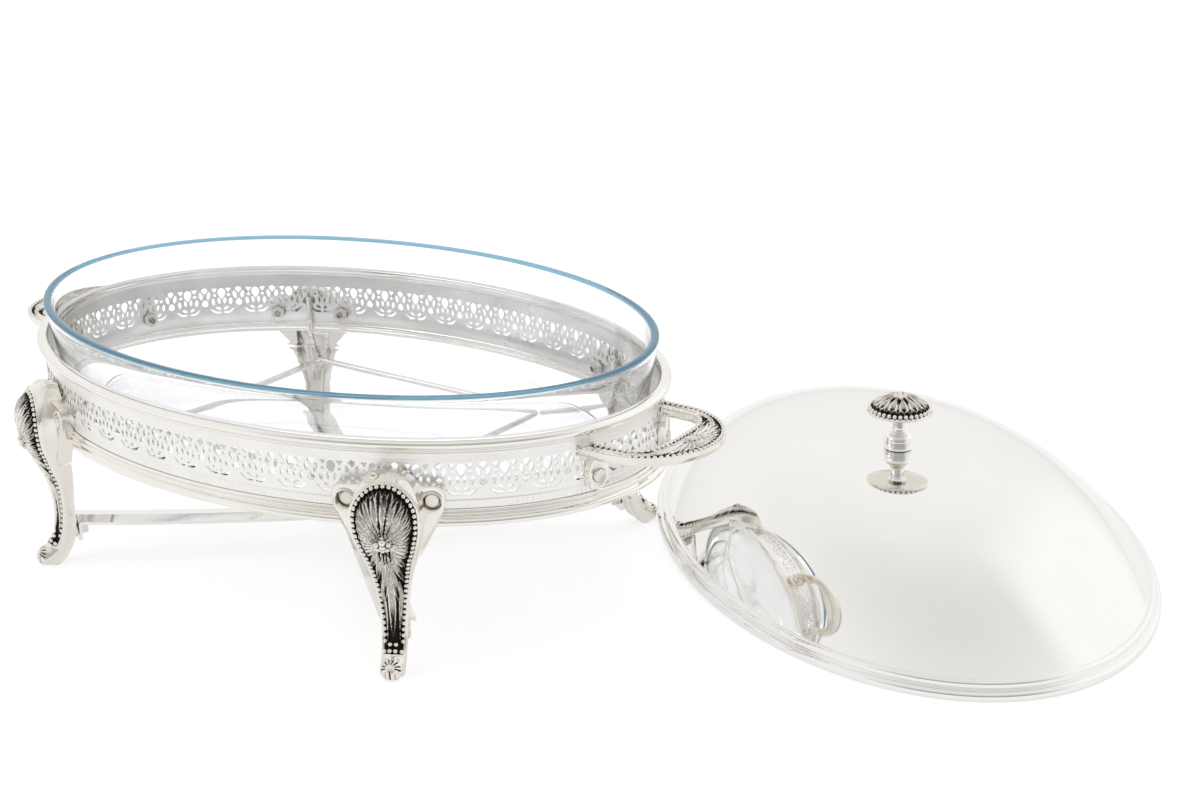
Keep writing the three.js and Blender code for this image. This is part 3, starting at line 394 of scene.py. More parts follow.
LEAF_ROOT_WIDTH = 0.15
LEAF_FULLNESS = 1.2
LEAF_TIP = (0.86, 1.0)
LEAF_TIP_NARROWING = 0.75
RIDGE_AT = 0.72
RIDGE_WIDTH = 0.24
GROOVE_FLOOR = 0.38
GROOVE_FALL = 0.22
GROOVE_EDGE = (0.5, 0.9)
LEAF_EDGE = (1.0, 1.3)


def leaf_relief(points, leaves):
    """Height of long leaves, each two thin ridges that meet in a point with a groove between.

    A leaf is its line, its half width, where along it it is widest, and how high it stands."""
    height = np.zeros(len(points))
    for line, half_width, widest, lift in leaves:
        low = line.min(0) - 2 * half_width
        high = line.max(0) + 2 * half_width
        near = np.flatnonzero(((points > low) & (points < high)).all(1))
        if not len(near):
            continue
        gap, share = distance_to_line(points[near], line)
        swell = np.sin(math.pi * warped(np.clip(share, 1e-6, 1), widest)) ** LEAF_FULLNESS
        width = half_width * (LEAF_ROOT_WIDTH + (1 - LEAF_ROOT_WIDTH) * swell)
        width *= 1 - LEAF_TIP_NARROWING * soft_step(share, *LEAF_TIP)
        r = gap / width
        groove = GROOVE_FLOOR - GROOVE_FALL * soft_step(share, *GROOVE_EDGE)
        groove *= soft_drop(r, *GROOVE_EDGE)
        rise = np.maximum(bell(r, RIDGE_AT, RIDGE_WIDTH), groove) * soft_drop(r, *LEAF_EDGE)
        height[near] = np.maximum(height[near], lift * rise)
    return height


def leaf_tone(leaf):
    """How black a place among leaves is: gaps black with oxidation, faces and grooves half toned, partly
    oxidation and partly painted shade, ridges bright.
    """
    return 1 - 0.64 * soft_step(leaf, 0.06, 0.34) - 0.36 * soft_step(leaf, 0.5, 0.75)


def bent_leaf(start, end, bow, steps=9):
    """A line from start to end that bows to its left by bow times its length."""
    start, end = np.asarray(start, float), np.asarray(end, float)
    along = end - start
    side = np.array([-along[1], along[0]])
    t = np.linspace(0, 1, steps)[:, None]
    return start + t * along + 4 * bow * t * (1 - t) * side


# Pieces

def new_mesh(name, shape, material, sharp):
    """A mesh of a shape, in metres; edges sharper than that many degrees stay crisp."""
    mesh = bpy.data.meshes.new(name)
    mesh.from_pydata((shape.points * MM).tolist(), [], shape.faces)
    work = bmesh.new()
    work.from_mesh(mesh)
    bmesh.ops.recalc_face_normals(work, faces=work.faces)
    work.to_mesh(mesh)
    work.free()
    mesh.polygons.foreach_set("use_smooth", [True] * len(mesh.polygons))
    mesh.set_sharp_from_angle(angle=math.radians(sharp))
    dark = mesh.attributes.new("dark", "FLOAT", "POINT")
    dark.data.foreach_set("value", shape.dark.astype(np.float32))
    mesh.materials.append(material)
    return mesh


def add_object(name, data):
    item = bpy.data.objects.new(name, data)
    bpy.context.scene.collection.objects.link(item)
    return item


def place_piece(name, mesh, body, slot, replaced=(), place=AS_BUILT, middle=STAND_AT):
    """Puts a piece in the row frame; its place goes into its mesh, so that its box stays tight."""
    matrix = place.copy()
    matrix.translation = matrix.translation * MM
    own = mesh.copy()
    own.name = name
    own.transform(Matrix.Translation(middle) @ matrix)
    piece = add_object(name, own)
    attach(piece, body)
    if replaced:
        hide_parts(*replaced)


def add_piece(name, shape, material, sharp, *place):
    """A piece with a mesh of its own; what follows its sharp angle says where it goes."""
    place_piece(name, new_mesh(name, shape, material, sharp), *place)


# Materials

# Black of oxidation, also laid as painted shade under beads and over leaf faces
OXIDE_AND_SHADE_COLOUR = (0.022, 0.019, 0.016, 1)
OXIDE_ROUGHNESS = 0.62
OXIDE_MOTTLE = 0.5
OXIDE_AND_SHADE_RANGE = (0.42, 0.92)
# Noises as scale and detail
CLOUD = (38.0, 4.0)
MOTTLE = (900.0, 2.0)
RIPPLE_DETAIL = 2.0
WHITE = (1, 1, 1, 1)


class NodeTree:
    """Builds the nodes of a material or world; an input takes a constant or another node's output."""

    def __init__(self, owner):
        owner.use_nodes = True
        self.owner = owner
        self.nodes = owner.node_tree.nodes
        self.links = owner.node_tree.links
        self.nodes.clear()

    def fill(self, node, inputs):
        for key, value in inputs.items():
            if isinstance(value, bpy.types.NodeSocket):
                self.links.new(value, node.inputs[key])
            else:
                node.inputs[key].default_value = value
        return node.outputs

    def new(self, kind):
        return self.nodes.new(f"ShaderNode{kind}")

    def add(self, kind, **inputs):
        named = {key.replace("_", " "): value for key, value in inputs.items()}
        return self.fill(self.new(kind), named)

    def math(self, operation, *values):
        node = self.new("Math")
        node.operation = operation
        return self.fill(node, dict(enumerate(values)))["Value"]

    def mix(self, factor, a, b, data_type="RGBA"):
        node = self.new("Mix")
        node.data_type = data_type
        return self.fill(node, {"Factor": factor, "A": a, "B": b})["Result"]

    def attribute(self, name):
        node = self.new("Attribute")
        node.attribute_name = name
        return node.outputs["Fac"]

    def noise(self, scale, detail, stretch=(1, 1, 1)):
        where = self.add("TexCoord")["Object"]
        where = self.add("Mapping", Vector=where, Scale=stretch)["Vector"]
        return self.add("TexNoise", Vector=where, Scale=scale, Detail=detail)["Fac"]

    def spread(self, source, low, high, source_low=0.3, source_high=0.7):
        """Maps a value to the range from low to high; the source's range fits a noise if not said."""
        return self.add(
            "MapRange", Value=source, From_Min=source_low, From_Max=source_high, To_Min=low, To_Max=high,
        )["Result"]

    def bump(self, height, strength, depth):
        return self.add("Bump", Height=height, Strength=strength, Distance=depth)["Normal"]

    def principled(self, **inputs):
        shader = self.add("BsdfPrincipled", **inputs)
        self.add("OutputMaterial", Surface=shader["BSDF"])
        return self.owner


def new_material(name):
    return NodeTree(bpy.data.materials.new(name))


def plated_material(name, colour, shade, roughness, ripple, ripple_scale, oxide_and_shade=False):
    """Polished plate: a warm mirror with faint ripples and cloudy polish; black oxidation in its recesses,
    and the same black as painted shade.
    """
    tree = new_material(name)
    cloud = tree.noise(*CLOUD)
    base = tree.mix(tree.spread(cloud, 0.0, 1.0), (*colour, 1), (*shade, 1))
    rough = tree.spread(cloud, *roughness)
    if oxide_and_shade:
        # The dark attribute holds oxidation in recesses and painted shade under beads and over leaf faces;
        # both turn the plate black here
        stain_and_shade = tree.math("MULTIPLY_ADD", tree.noise(*MOTTLE), OXIDE_MOTTLE, tree.attribute("dark"))
        cover = tree.spread(stain_and_shade, 0.0, 1.0, *OXIDE_AND_SHADE_RANGE)
        base = tree.mix(cover, base, OXIDE_AND_SHADE_COLOUR)
        rough = tree.mix(cover, rough, OXIDE_ROUGHNESS, "FLOAT")
    waves = tree.bump(tree.noise(ripple_scale, RIPPLE_DETAIL), 1.0, ripple)
    return tree.principled(Metallic=1.0, Base_Color=base, Roughness=rough, Normal=waves)


def wax_material():
    tree = new_material("candle_wax")
    return tree.principled(
        Base_Color=(0.93, 0.91, 0.85, 1), Roughness=0.42, Subsurface_Weight=0.35,
        Subsurface_Radius=(0.004, 0.003, 0.002), Subsurface_Scale=1.0,
        Normal=tree.bump(tree.noise(300.0, 3.0), 0.4, 0.0003),
    )


def aluminium_material():
    tree = new_material("thin_aluminium")
    scratch = tree.noise(260.0, 3.0, (1, 1, 14))
    return tree.principled(
        Metallic=1.0, Base_Color=(0.86, 0.87, 0.88, 1), Roughness=tree.spread(scratch, 0.22, 0.4),
        Normal=tree.bump(scratch, 0.5, 0.0001),
    )


def wick_material():
    tree = new_material("cotton_wick")
    fibre = tree.noise(900.0, 3.0, (1, 1, 0.3))
    tone = tree.mix(fibre, (0.80, 0.78, 0.72, 1), (0.55, 0.52, 0.46, 1))
    return tree.principled(Base_Color=tone, Roughness=0.9, Normal=tree.bump(fibre, 0.8, 0.0003))


def glass_material():
    """Clear pressed glass, blue where one looks along its thick rim."""
    tree = new_material("oven_glass")
    rim = tree.attribute("dark")
    return tree.principled(
        IOR=1.5, Transmission_Weight=tree.spread(rim, 1.0, 0.4),
        Base_Color=tree.mix(rim, (0.875, 0.88, 0.89, 1), (0.11, 0.31, 0.46, 1)),
        Roughness=tree.spread(tree.noise(24.0, 3.0), 0.0, 0.02),
        Normal=tree.bump(tree.noise(30.0, 1.0), 0.5, 0.0004),
    )


SILVER = plated_material(
    "silver_plate", (0.945, 0.925, 0.89), (0.925, 0.90, 0.855), (0.05, 0.10), 0.00006, 60.0,
)
LID_SILVER = plated_material(
    "silver_plate_lid", (0.93, 0.925, 0.91), (0.92, 0.91, 0.89), (0.02, 0.05), 0.00003, 14.0,
)
PIERCED = plated_material(
    "pierced_silver", (0.955, 0.945, 0.925), (0.925, 0.91, 0.885), (0.26, 0.36), 0.00006, 300.0, True,
)
CAST = plated_material(
    "cast_silver", (0.93, 0.90, 0.85), (0.88, 0.84, 0.77), (0.12, 0.24), 0.00008, 700.0, True,
)
WIRE = plated_material(
    "plated_wire", (0.93, 0.91, 0.87), (0.89, 0.86, 0.80), (0.12, 0.22), 0.00005, 200.0,
)
STEEL = plated_material(
    "plated_steel", (0.86, 0.83, 0.77), (0.74, 0.70, 0.63), (0.22, 0.38), 0.00008, 500.0,
)
WAX = wax_material()
ALUMINIUM = aluminium_material()
WICK = wick_material()
GLASS = glass_material()


# Pierced gallery band

PITCH = OVAL.length / PATTERN_REPEATS


def mirrored(outline):
    return np.array([(-x, y) for x, y in outline])[::-1]


def band_holes():
    """Outlines of one repeat's holes as distance from the large kite's middle and height."""
    side = [
        np.array([(2.3, 99.2), (5.7, 99.2), (5.2, 98.2), (4.0, 96.5), (2.8, 98.2)]),
        petal((4.0, 94.05), (4.0, 95.95), 1.0, 0.5, 7),
        petal((7.1, 97.4), (8.1, 92.4), 1.05, 0.45, 9),
        petal((1.9, 93.6), (1.35, 89.4), 0.8, 0.45, 8),
        petal((5.2, 93.3), (4.8, 88.7), 0.95, 0.5, 9),
        petal((0.7, 86.1), (3.7, 88.0), 0.8, 0.5, 8),
        np.array([
            (0.8, 83.9), (2.4, 83.7), (4.0, 83.8), (5.8, 85.2), (7.4, 87.2),
            (5.6, 86.3), (4.2, 85.3), (2.5, 84.9), (0.9, 84.9),
        ]),
    ]
    return [petal((0, 99.3), (0, 92.5), 2.2, 0.38, 11)] + side + [mirrored(hole) for hole in side]


def border_halves():
    """Right-hand halves of the small spade and the kite under it, which the next repeat completes."""
    edge = PITCH / 2
    halves = []
    for low, high, half_width, widest in ((95.8, 99.9, 1.75, 0.62), (88.3, 92.7, 1.85, 0.4)):
        outline = petal((edge, low), (edge, high), half_width, widest, 9)
        halves.append(outline[outline[:, 0] <= edge + 1e-6])
    return halves


CELL_ROWS = 14
CELL_COLUMNS = 16
CELL_STAGGER = 0.3
BORDER_GAP = 0.3
INNER_GAP = 0.5
# Points in one place are welded: places are a fiftieth of a millimetre long and a 200th high
SEAM_SHIFT = 0.005
PLACES_ALONG = 50
PLACES_UP = 200


def band_cell():
    """Points and triangles of one repeat of the pierced zone, flat."""
    edge = PITCH / 2
    halves = border_halves()
    outlines = [*band_holes(), *halves, *[mirrored(half) for half in halves]]
    rows = np.arange(PIERCED_BOTTOM, PIERCED_TOP + 0.01, (PIERCED_TOP - PIERCED_BOTTOM) / CELL_ROWS)
    columns = np.linspace(-edge, edge, CELL_COLUMNS + 1)[1:-1]
    points = []
    lines = []
    for outline in outlines:
        start = len(points)
        count = len(outline)
        points.extend(outline.tolist())
        lines.extend([(start + k, start + (k + 1) % count) for k in range(count)])
    border = {rows[0], rows[-1]}
    for z in rows:
        clear_of = [abs(half[:, 1] - z).min() > BORDER_GAP for half in halves]
        within = [half[:, 1].min() < z < half[:, 1].max() for half in halves]
        if all(clear_of) and not any(within):
            border.add(z)
    points.extend([(s * edge, z) for z in sorted(border) for s in (-1, 1)])
    points.extend([(a, z) for a in columns for z in (rows[0], rows[-1])])
    inner = np.array([
        (a + (CELL_STAGGER if k % 2 else -CELL_STAGGER), z) for k, z in enumerate(rows[1:-1]) for a in columns
    ])
    clear = np.full(len(inner), True)
    for outline in outlines:
        gap, _ = distance_to_line(inner, outline, closed=True)
        clear &= (gap > INNER_GAP) & ~inside_outline(inner, outline)
    points.extend(inner[clear].tolist())
    flat, _, triangles, _, _, _ = delaunay_2d_cdt([Vector(p) for p in points], lines, [], 0, 1e-5)
    flat = np.array([tuple(p) for p in flat])
    triangles = np.array([tuple(t) for t in triangles])
    centres = flat[triangles].mean(1)
    keep = np.full(len(triangles), True)
    for outline in outlines:
        keep &= ~inside_outline(centres, outline)
    return flat, triangles[keep]


def pierced_zone():
    """The cell repeated round the band, welded at its seams, with walls round its holes."""
    flat, triangles = band_cell()
    repeats = np.arange(PATTERN_REPEATS)
    along = ((repeats + PATTERN_PHASE) * PITCH)[:, None] + flat[None, :, 0]
    along = along.reshape(-1)
    height = np.tile(flat[:, 1], PATTERN_REPEATS)
    faces = (triangles[None] + (repeats * len(flat))[:, None, None]).reshape(-1, 3)
    around = np.round(np.mod(along + SEAM_SHIFT, OVAL.length) * PLACES_ALONG)
    places = np.stack([around, np.round(height * PLACES_UP)], 1)
    _, first, same = np.unique(places, axis=0, return_index=True, return_inverse=True)
    faces = same.reshape(-1)[faces]
    faces = faces[(faces != np.roll(faces, 1, 1)).all(1)]
    along, height = along[first], height[first]
    outer = OVAL.at(along, 0.0, height)
    inner = OVAL.at(along, -BAND_THICKNESS, height)
    edges = np.concatenate([faces[:, [0, 1]], faces[:, [1, 2]], faces[:, [2, 0]]])
    _, index, times = np.unique(np.sort(edges, 1), axis=0, return_index=True, return_counts=True)
    size = len(along)
    walls = [(a, b, b + size, a + size) for a, b in edges[index[times == 1]].tolist()]
    skin = np.concatenate([faces, faces[:, ::-1] + size])
    points = np.vstack([outer, inner])
    return joined([Shape(points, [tuple(face) for face in skin.tolist()]), Shape(points, walls)])


STRIP_COLUMNS = 30
STROKES = 22
STROKE_DEPTH = 0.16
STROKE_FEET = (77.6, 78.2)
STROKE_HEADS = (80.6, 81.2)
STROKE_LINES = (77.3, 81.8)
STROKE_LINE_WIDTH = 0.22
SWAGS = 4
SWAG_HEIGHT = 102.0
SWAG_DROP = 1.4
SWAG_WIDTH = 0.25
SWAG_DEPTH = 0.14
DOT_DEPTH = 0.16
SWAG_LINES = (100.9, 104.4)
SWAG_LINE_WIDTH = 0.2
SWAG_LINE_DEPTH = 0.1
STRIP_DARK = 1.2
STRIP_DARKEST = 0.4


def chased_strip(low, high, relief, steps):
    """A plain strip of the band with chased lines in its outer face."""
    columns = np.arange(PATTERN_REPEATS * STRIP_COLUMNS) / STRIP_COLUMNS
    distance = (columns + PATTERN_PHASE) * PITCH
    along, height = np.meshgrid(distance, np.linspace(low, high, steps), indexing="ij")
    depth = relief((along / PITCH - PATTERN_PHASE) % 1.0, height)
    outer = OVAL.at(along, -depth, height)
    inner = OVAL.at(along, -BAND_THICKNESS, height)[:, ::-1]
    dark = np.concatenate([np.clip(depth * STRIP_DARK, 0, STRIP_DARKEST), np.zeros_like(depth)], 1)
    return grid_shape(np.concatenate([outer, inner], 1), dark, around=True, along=True)


def hatch_relief(share, height):
    """Upright strokes under the piercing, between two fine lines."""
    strokes = 0.5 + 0.5 * np.cos(share * STROKES * 2 * math.pi)
    inside = soft_step(height, *STROKE_FEET) * soft_drop(height, *STROKE_HEADS)
    lines = sum(bell(height, z, STROKE_LINE_WIDTH) for z in STROKE_LINES)
    return STROKE_DEPTH * (strokes * inside + lines)


def swag_relief(share, height):
    """Small hung arcs and dots above the piercing."""
    swing = np.abs(np.sin(share * SWAGS * math.pi))
    arc = bell(height, SWAG_HEIGHT + SWAG_DROP * swing, SWAG_WIDTH)
    dots = bell(np.mod(share * SWAGS, 1.0), 0.5, 0.1) * bell(height, SWAG_HEIGHT + 0.3, 0.45)
    lines = sum(bell(height, z, SWAG_LINE_WIDTH) for z in SWAG_LINES)
    return SWAG_DEPTH * arc + DOT_DEPTH * dots + SWAG_LINE_DEPTH * lines


def build_band():
    shape = joined([
        chased_strip(BAND_BOTTOM, PIERCED_BOTTOM, hatch_relief, 40),
        pierced_zone(),
        chased_strip(PIERCED_TOP, BAND_TOP, swag_relief, 36),
    ])
    add_piece("gallery_band_pierced", shape, PIERCED, 30, "stand", "silver", ["gallery_band"])


# Rolled rims

def swept_rim(profile, steps=4, stations=480):
    profile = smooth_line(profile, steps, closed=True)
    distance = np.arange(stations) / stations * OVAL.length
    points = OVAL.at(distance[:, None], profile[None, :, 0], profile[None, :, 1])
    return grid_shape(points, around=True, along=True)


def build_rims():
    upper = [
        (0.1, 105.0), (0.75, 105.0), (0.8, 105.6), (0.45, 106.0), (1.4, 106.3), (2.6, 106.9), (3.3, 108.0),
        (3.3, 109.2), (2.6, 110.3), (1.4, 111.0), (0.0, 111.3), (-1.1, 111.3), (-2.0, 110.6), (-2.1, 109.4),
        (-1.9, 108.0), (-2.2, 106.8), (-1.7, 105.9), (-1.3, 106.0), (-1.3, 109.4), (0.1, 109.4),
    ]
    lower = [
        (0.1, 77.2), (0.7, 77.2), (0.9, 76.6), (0.5, 76.1), (1.6, 75.8), (2.0, 75.0), (1.3, 74.4),
        (2.2, 74.0), (3.5, 73.2), (4.0, 72.0), (3.6, 70.8), (2.5, 70.1), (1.0, 70.0), (-0.6, 70.2),
        (-1.6, 70.8), (-2.0, 72.2), (-1.7, 74.0), (-2.1, 75.4), (-1.7, 76.6), (-1.3, 76.4), (-1.3, 72.3),
        (0.1, 72.3),
    ]
    for name, profile in (("upper", upper), ("lower", lower)):
        rim = swept_rim(profile)
        add_piece(f"{name}_rim_rolled", rim, SILVER, 60, "stand", "silver", [f"{name}_rim"])


# Legs, in their own frame: X across, Y out of the band, Z up

# Height of the front face, how far out it and the back edge lie, height of the back edge, half widths of both
LEG_PROFILE = (
    (98.2, 4.6, 0.8, 97.4, 3.4, 3.8),
    (97.6, 8.8, 0.8, 96.6, 6.6, 7.2),
    (95.4, 12.6, 0.8, 94.2, 9.6, 10.4),
    (92.4, 15.8, 0.8, 91.2, 12.2, 13.2),
    (88.5, 18.6, 0.8, 87.4, 14.2, 15.2),
    (84.0, 20.6, 0.8, 83.0, 15.6, 16.2),
    (79.0, 21.3, 0.8, 78.2, 16.2, 16.6),
    (74.0, 20.6, 0.8, 73.2, 16.2, 16.6),
    (68.5, 19.5, 0.8, 67.4, 15.2, 15.8),
    (62.0, 16.6, 0.2, 60.6, 13.4, 13.8),
    (55.0, 13.3, -0.8, 53.4, 11.4, 11.0),
    (48.0, 10.1, -1.2, 46.6, 9.6, 8.6),
    (41.0, 8.2, -1.3, 39.8, 8.2, 6.8),
    (34.0, 7.4, -1.3, 33.0, 7.2, 5.6),
    (27.0, 7.4, -1.3, 25.8, 6.5, 4.8),
    (20.0, 8.2, -0.8, 17.6, 6.1, 4.5),
    (15.0, 9.8, 0.6, 11.0, 5.9, 4.5),
    (11.6, 12.6, 4.0, 5.0, 5.7, 4.6),
    (8.9, 16.6, 8.6, 0.9, 5.6, 4.8),
    (6.2, 18.9, 11.0, 0.25, 5.1, 4.8),
    (3.4, LEG_TOE, 12.0, 0.2, 4.2, 4.4),
    (1.2, 18.6, 13.0, 0.15, 3.2, 3.6),
)
# The framed field on the front: height and half width
FIELD_WIDTHS = (
    (95.2, 0.0), (94.9, 3.4), (93.8, 6.8), (91.6, 10.0), (88.6, 12.8), (84.6, 14.9), (80.5, 15.7),
    (76.5, 15.8), (72.0, 15.4), (67.0, 14.3), (60.8, 12.6), (56.4, 11.0), (51.0, 9.8), (45.3, 8.6),
    (39.6, 7.6), (34.8, 7.0), (29.4, 6.45), (24.7, 5.95), (19.9, 5.7), (15.0, 5.4), (12.2, 5.3), (11.3, 4.4),
    (11.0, 0.0),
)
FRONT_SHARE = 0.62
FRONT_POWER = 2.2


class LegFront:
    """The leg's front face: places by distance across and by distance down from its crown."""

    def __init__(self):
        self.line = smooth_line(LEG_PROFILE, 12)
        self.reach = reach_along(self.line[:, :2])
        self.length = self.reach[-1]

    def down_at(self, height):
        return float(np.interp(-height, -self.line[:, 0], self.reach))

    def row(self, down):
        return [np.interp(down, self.reach, column) for column in self.line.T]

    def place(self, across, down):
        across, down = np.broadcast_arrays(across, down)
        height, out, back_out, back_height, half_front, _ = self.row(down)
        share = np.clip(np.abs(across) / half_front, 0, 1.2)
        depth = 1 - (1 - FRONT_SHARE) * share ** FRONT_POWER
        return np.stack([
            across, back_out + depth * (out - back_out), back_height + depth * (height - back_height),
        ], -1)

    def facing(self, across, down):
        step = 0.4
        side = self.place(across + step, down) - self.place(across - step, down)
        fall = self.place(across, down + step) - self.place(across, down - step)
        normal = np.cross(fall, side)
        normal /= np.linalg.norm(normal, axis=-1, keepdims=True)
        return np.where(normal[..., 1:2] < 0, -normal, normal)

    def raised(self, across, down, height):
        across = np.asarray(across, float)
        down = np.asarray(down, float)
        return self.place(across, down) + np.asarray(height)[..., None] * self.facing(across, down)


LEG_FRONT = LegFront()


def leg_field():
    """Outline of the framed field as across and down."""
    right = smooth_line([(width, LEG_FRONT.down_at(height)) for height, width in FIELD_WIDTHS], 4)
    right[:, 0] = np.maximum(right[:, 0], 0)
    return np.vstack([right, (right * (-1, 1))[-2:0:-1]])


LEG_FIELD = leg_field()

# Leaves on the leg: bearings from straight up in degrees, of the long ones, the short ones between them and
# the ones that turn down
LONG_LEAVES = (-3, 10, -16, 22, -28, 35, -39, 47, -50, 60, -62, 74, -75, 90, -90)
SHORT_LEAVES = (3.5, -9.5, 16, -22, 28.5, -33.5, 41, -44.5, 53.5, -56)
LOW_LEAVES = (-106, 104, -121, 118, -136, 132)
# Leaves of the bundle under the flower: start and end as across and height, bow, half width, widest, lift
BUNDLE_LEAVES = (
    ((1.5, 67.0), (3.5, 33.0), 0.02, 1.5, 0.62, 1.0),
    ((3.0, 67.0), (6.2, 45.5), 0.04, 1.3, 0.6, 1.0),
    ((3.4, 67.2), (7.8, 54.0), 0.05, 1.5, 0.6, 1.0),
    ((4.1, 46.0), (3.2, 14.6), -0.02, 1.7, 0.5, 0.8),
)
BEAD_ROOM = 2.9
LEG_LEAF_WIDEST = 0.64
# A long leaf is as wide as this and this share of its length
LONG_LEAF_WIDTH = 0.5
LONG_LEAF_GROWTH = 0.045
LONG_LEAF_BOW = 0.05
SHORT_LEAF_WIDTH = 1.7
LOW_LEAF_WIDTH = 1.35
LOW_LEAF_BOW = 0.03


def leg_leaves():
    """Leaves that spread from the flower, and the bundle that runs down from it."""
    down = LEG_FRONT.down_at
    middle = np.array([0.0, down(LEG_FLOWER_HEIGHT)])
    leaves = []

    def fits(places):
        gap, _ = distance_to_line(places, LEG_FIELD, closed=True)
        return inside_outline(places, LEG_FIELD) & (gap > BEAD_ROOM)

    def way_at(angle):
        return np.array([math.sin(angle), -math.cos(angle)])

    def room(angle):
        return free_length(middle, way_at(angle), 4, 40, 0.25, fits)

    def add(angle, start, length, half_width, bow, lift):
        way = way_at(angle)
        line = bent_leaf(middle + start * way, middle + length * way, bow)
        leaves.append((line, half_width, LEG_LEAF_WIDEST, lift))

    for angle in np.radians(LONG_LEAVES):
        reach = room(angle)
        bow = LONG_LEAF_BOW * np.sign(angle) * min(1, abs(angle))
        add(angle, 1.6, reach, LONG_LEAF_WIDTH + LONG_LEAF_GROWTH * reach, bow, 1.0)
    for angle in np.radians(SHORT_LEAVES):
        reach = room(angle) + 0.4
        add(angle, 0.5 * reach, reach, SHORT_LEAF_WIDTH, 0.0, 0.5)
    for angle in np.radians(LOW_LEAVES):
        add(angle, 1.8, room(angle) + 0.4, LOW_LEAF_WIDTH, LOW_LEAF_BOW * np.sign(angle), 1.0)
    for (x0, z0), (x1, z1), bow, half_width, widest, lift in BUNDLE_LEAVES:
        for side in (-1, 1):
            line = bent_leaf((side * x0, down(z0)), (side * x1, down(z1)), side * bow, 14)
            leaves.append((line, half_width, widest, lift))
    leaves.append((bent_leaf((0.0, down(64.0)), (0.0, down(16.4)), 0.0, 16), 1.9, 0.6, 0.96))
    return leaves


FRAME_HEIGHT = 0.75
FRAME_MIDDLE = 0.35
FRAME_WIDTH = 0.45
FIELD_DEPTH = 1.15
CUSHION_HEIGHT = 0.8
LEAF_HEIGHT = 1.35


def leg_relief(across, down):
    """How far each point of the front face rises, and how black it is."""
    points = np.stack([across.reshape(-1), down.reshape(-1)], 1)
    edge, _ = distance_to_line(points, LEG_FIELD, closed=True)
    inside = inside_outline(points, LEG_FIELD)
    depth = np.where(inside, edge, -edge)
    low = soft_step(points[:, 1], LEG_FRONT.down_at(52), LEG_FRONT.down_at(40))
    leafy = np.minimum(soft_step(depth, 2.4, 2.8) + low * soft_step(depth, 1.6, 2.0), 1)
    leaf = leaf_relief(points, leg_leaves()) * leafy
    rise = FRAME_HEIGHT * bell(depth, FRAME_MIDDLE, FRAME_WIDTH) - FIELD_DEPTH * soft_step(depth, 0.8, 1.3)
    rise += CUSHION_HEIGHT * soft_step(depth, 2.6, 5.5) * inside + LEAF_HEIGHT * leaf
    # Oxidised black in the field, with painted shade over the leaf faces from leaf_tone
    black = soft_step(depth, 0.75, 1.1) * np.where(leafy > 0, leaf_tone(leaf), 1.0)
    hood_rise, hood_black = hood_relief(points)
    shell_rise, shell_black = shell_relief(points)
    rise += (hood_rise + shell_rise) * (depth < 0)
    black = np.maximum(black, np.maximum(hood_black, shell_black) * (depth < -0.3))
    return rise.reshape(across.shape), np.clip(black, 0, 1).reshape(across.shape)


def hood_relief(points):
    """Two folds of a leaf laid over the top of the frame, with a small curl at its right."""
    down = LEG_FRONT.down_at
    folds = np.zeros(len(points))
    crease = np.zeros(len(points))
    for (x0, z0), (x1, z1), bow in (((-6.6, 95.4), (-1.2, 98.0), -0.18), ((1.4, 97.6), (7.2, 94.2), 0.2)):
        gap, _ = distance_to_line(points, bent_leaf((x0, down(z0)), (x1, down(z1)), bow))
        folds = np.maximum(folds, bell(gap, 0, 1.1))
        crease = np.maximum(crease, bell(gap, 1.0, 0.3) * (points[:, 0] > x0))
    curl = np.hypot((points[:, 0] - 5.2) / 1.9, (points[:, 1] - down(97.0)) / 1.1)
    black = 0.3 * crease + 0.55 * bell(curl, 0, 0.55) + 0.35 * bell(curl, 1.6, 0.2)
    zone = soft_drop(points[:, 1], down(94.0), down(94.0) + 2.0)
    return (0.45 * folds + 0.5 * bell(curl, 1.0, 0.28)) * zone, np.clip(black, 0, 1) * zone


SHELL_RADIUS = 6.2
SHELL_FLUTE = 26.0


def shell_relief(points):
    """Small fluted shell on the toe, with two lobes under it."""
    base = LEG_FRONT.down_at(7.0)
    dx = points[:, 0]
    dy = base - points[:, 1]
    radius = np.hypot(dx, dy)
    angle = np.degrees(np.arctan2(dx, dy))
    zone = (radius < SHELL_RADIUS) & (np.abs(angle) < 110)
    flute = np.abs(np.mod(angle / SHELL_FLUTE + 0.5, 1.0) - 0.5) * 2
    groove = soft_step(flute, 0.55, 0.9) * soft_step(radius, 1.5, 2.3) * soft_drop(radius, 4.2, 5.0)
    dome = 0.7 * (1 - (radius / SHELL_RADIUS) ** 2)
    rise = np.where(zone, np.maximum(dome, 0) - 0.8 * groove, 0)
    split = bell(dx, 0, 0.4) * soft_step(points[:, 1], base + 0.4, base + 1.4)
    lobes = bell(np.abs(dx), 2.3, 0.35) * soft_step(points[:, 1], base + 0.8, base + 1.8)
    black = np.maximum(np.where(zone, groove, 0), 0.9 * split + 0.45 * lobes)
    return rise - 0.5 * split - 0.2 * lobes, black


FRONT_COLUMNS = 93
FRONT_ROW_STEP = 0.34
# The columns stand closer towards the sides: this share of their places follows a sine of this sweep
FRONT_CROWDING = 0.35
FRONT_SWEEP = math.pi / 2 * 0.94
WALL_STEPS = 12
WALL_PINCH = 0.5
# The open back, from the back edge to its middle: how deep it goes towards the front, and how far across
BACK_DEPTHS = (0.0, 0.3, 0.55, 0.62, 0.62)
BACK_SHARES = (0.84, 0.8, 0.66, 0.35, 0.0)


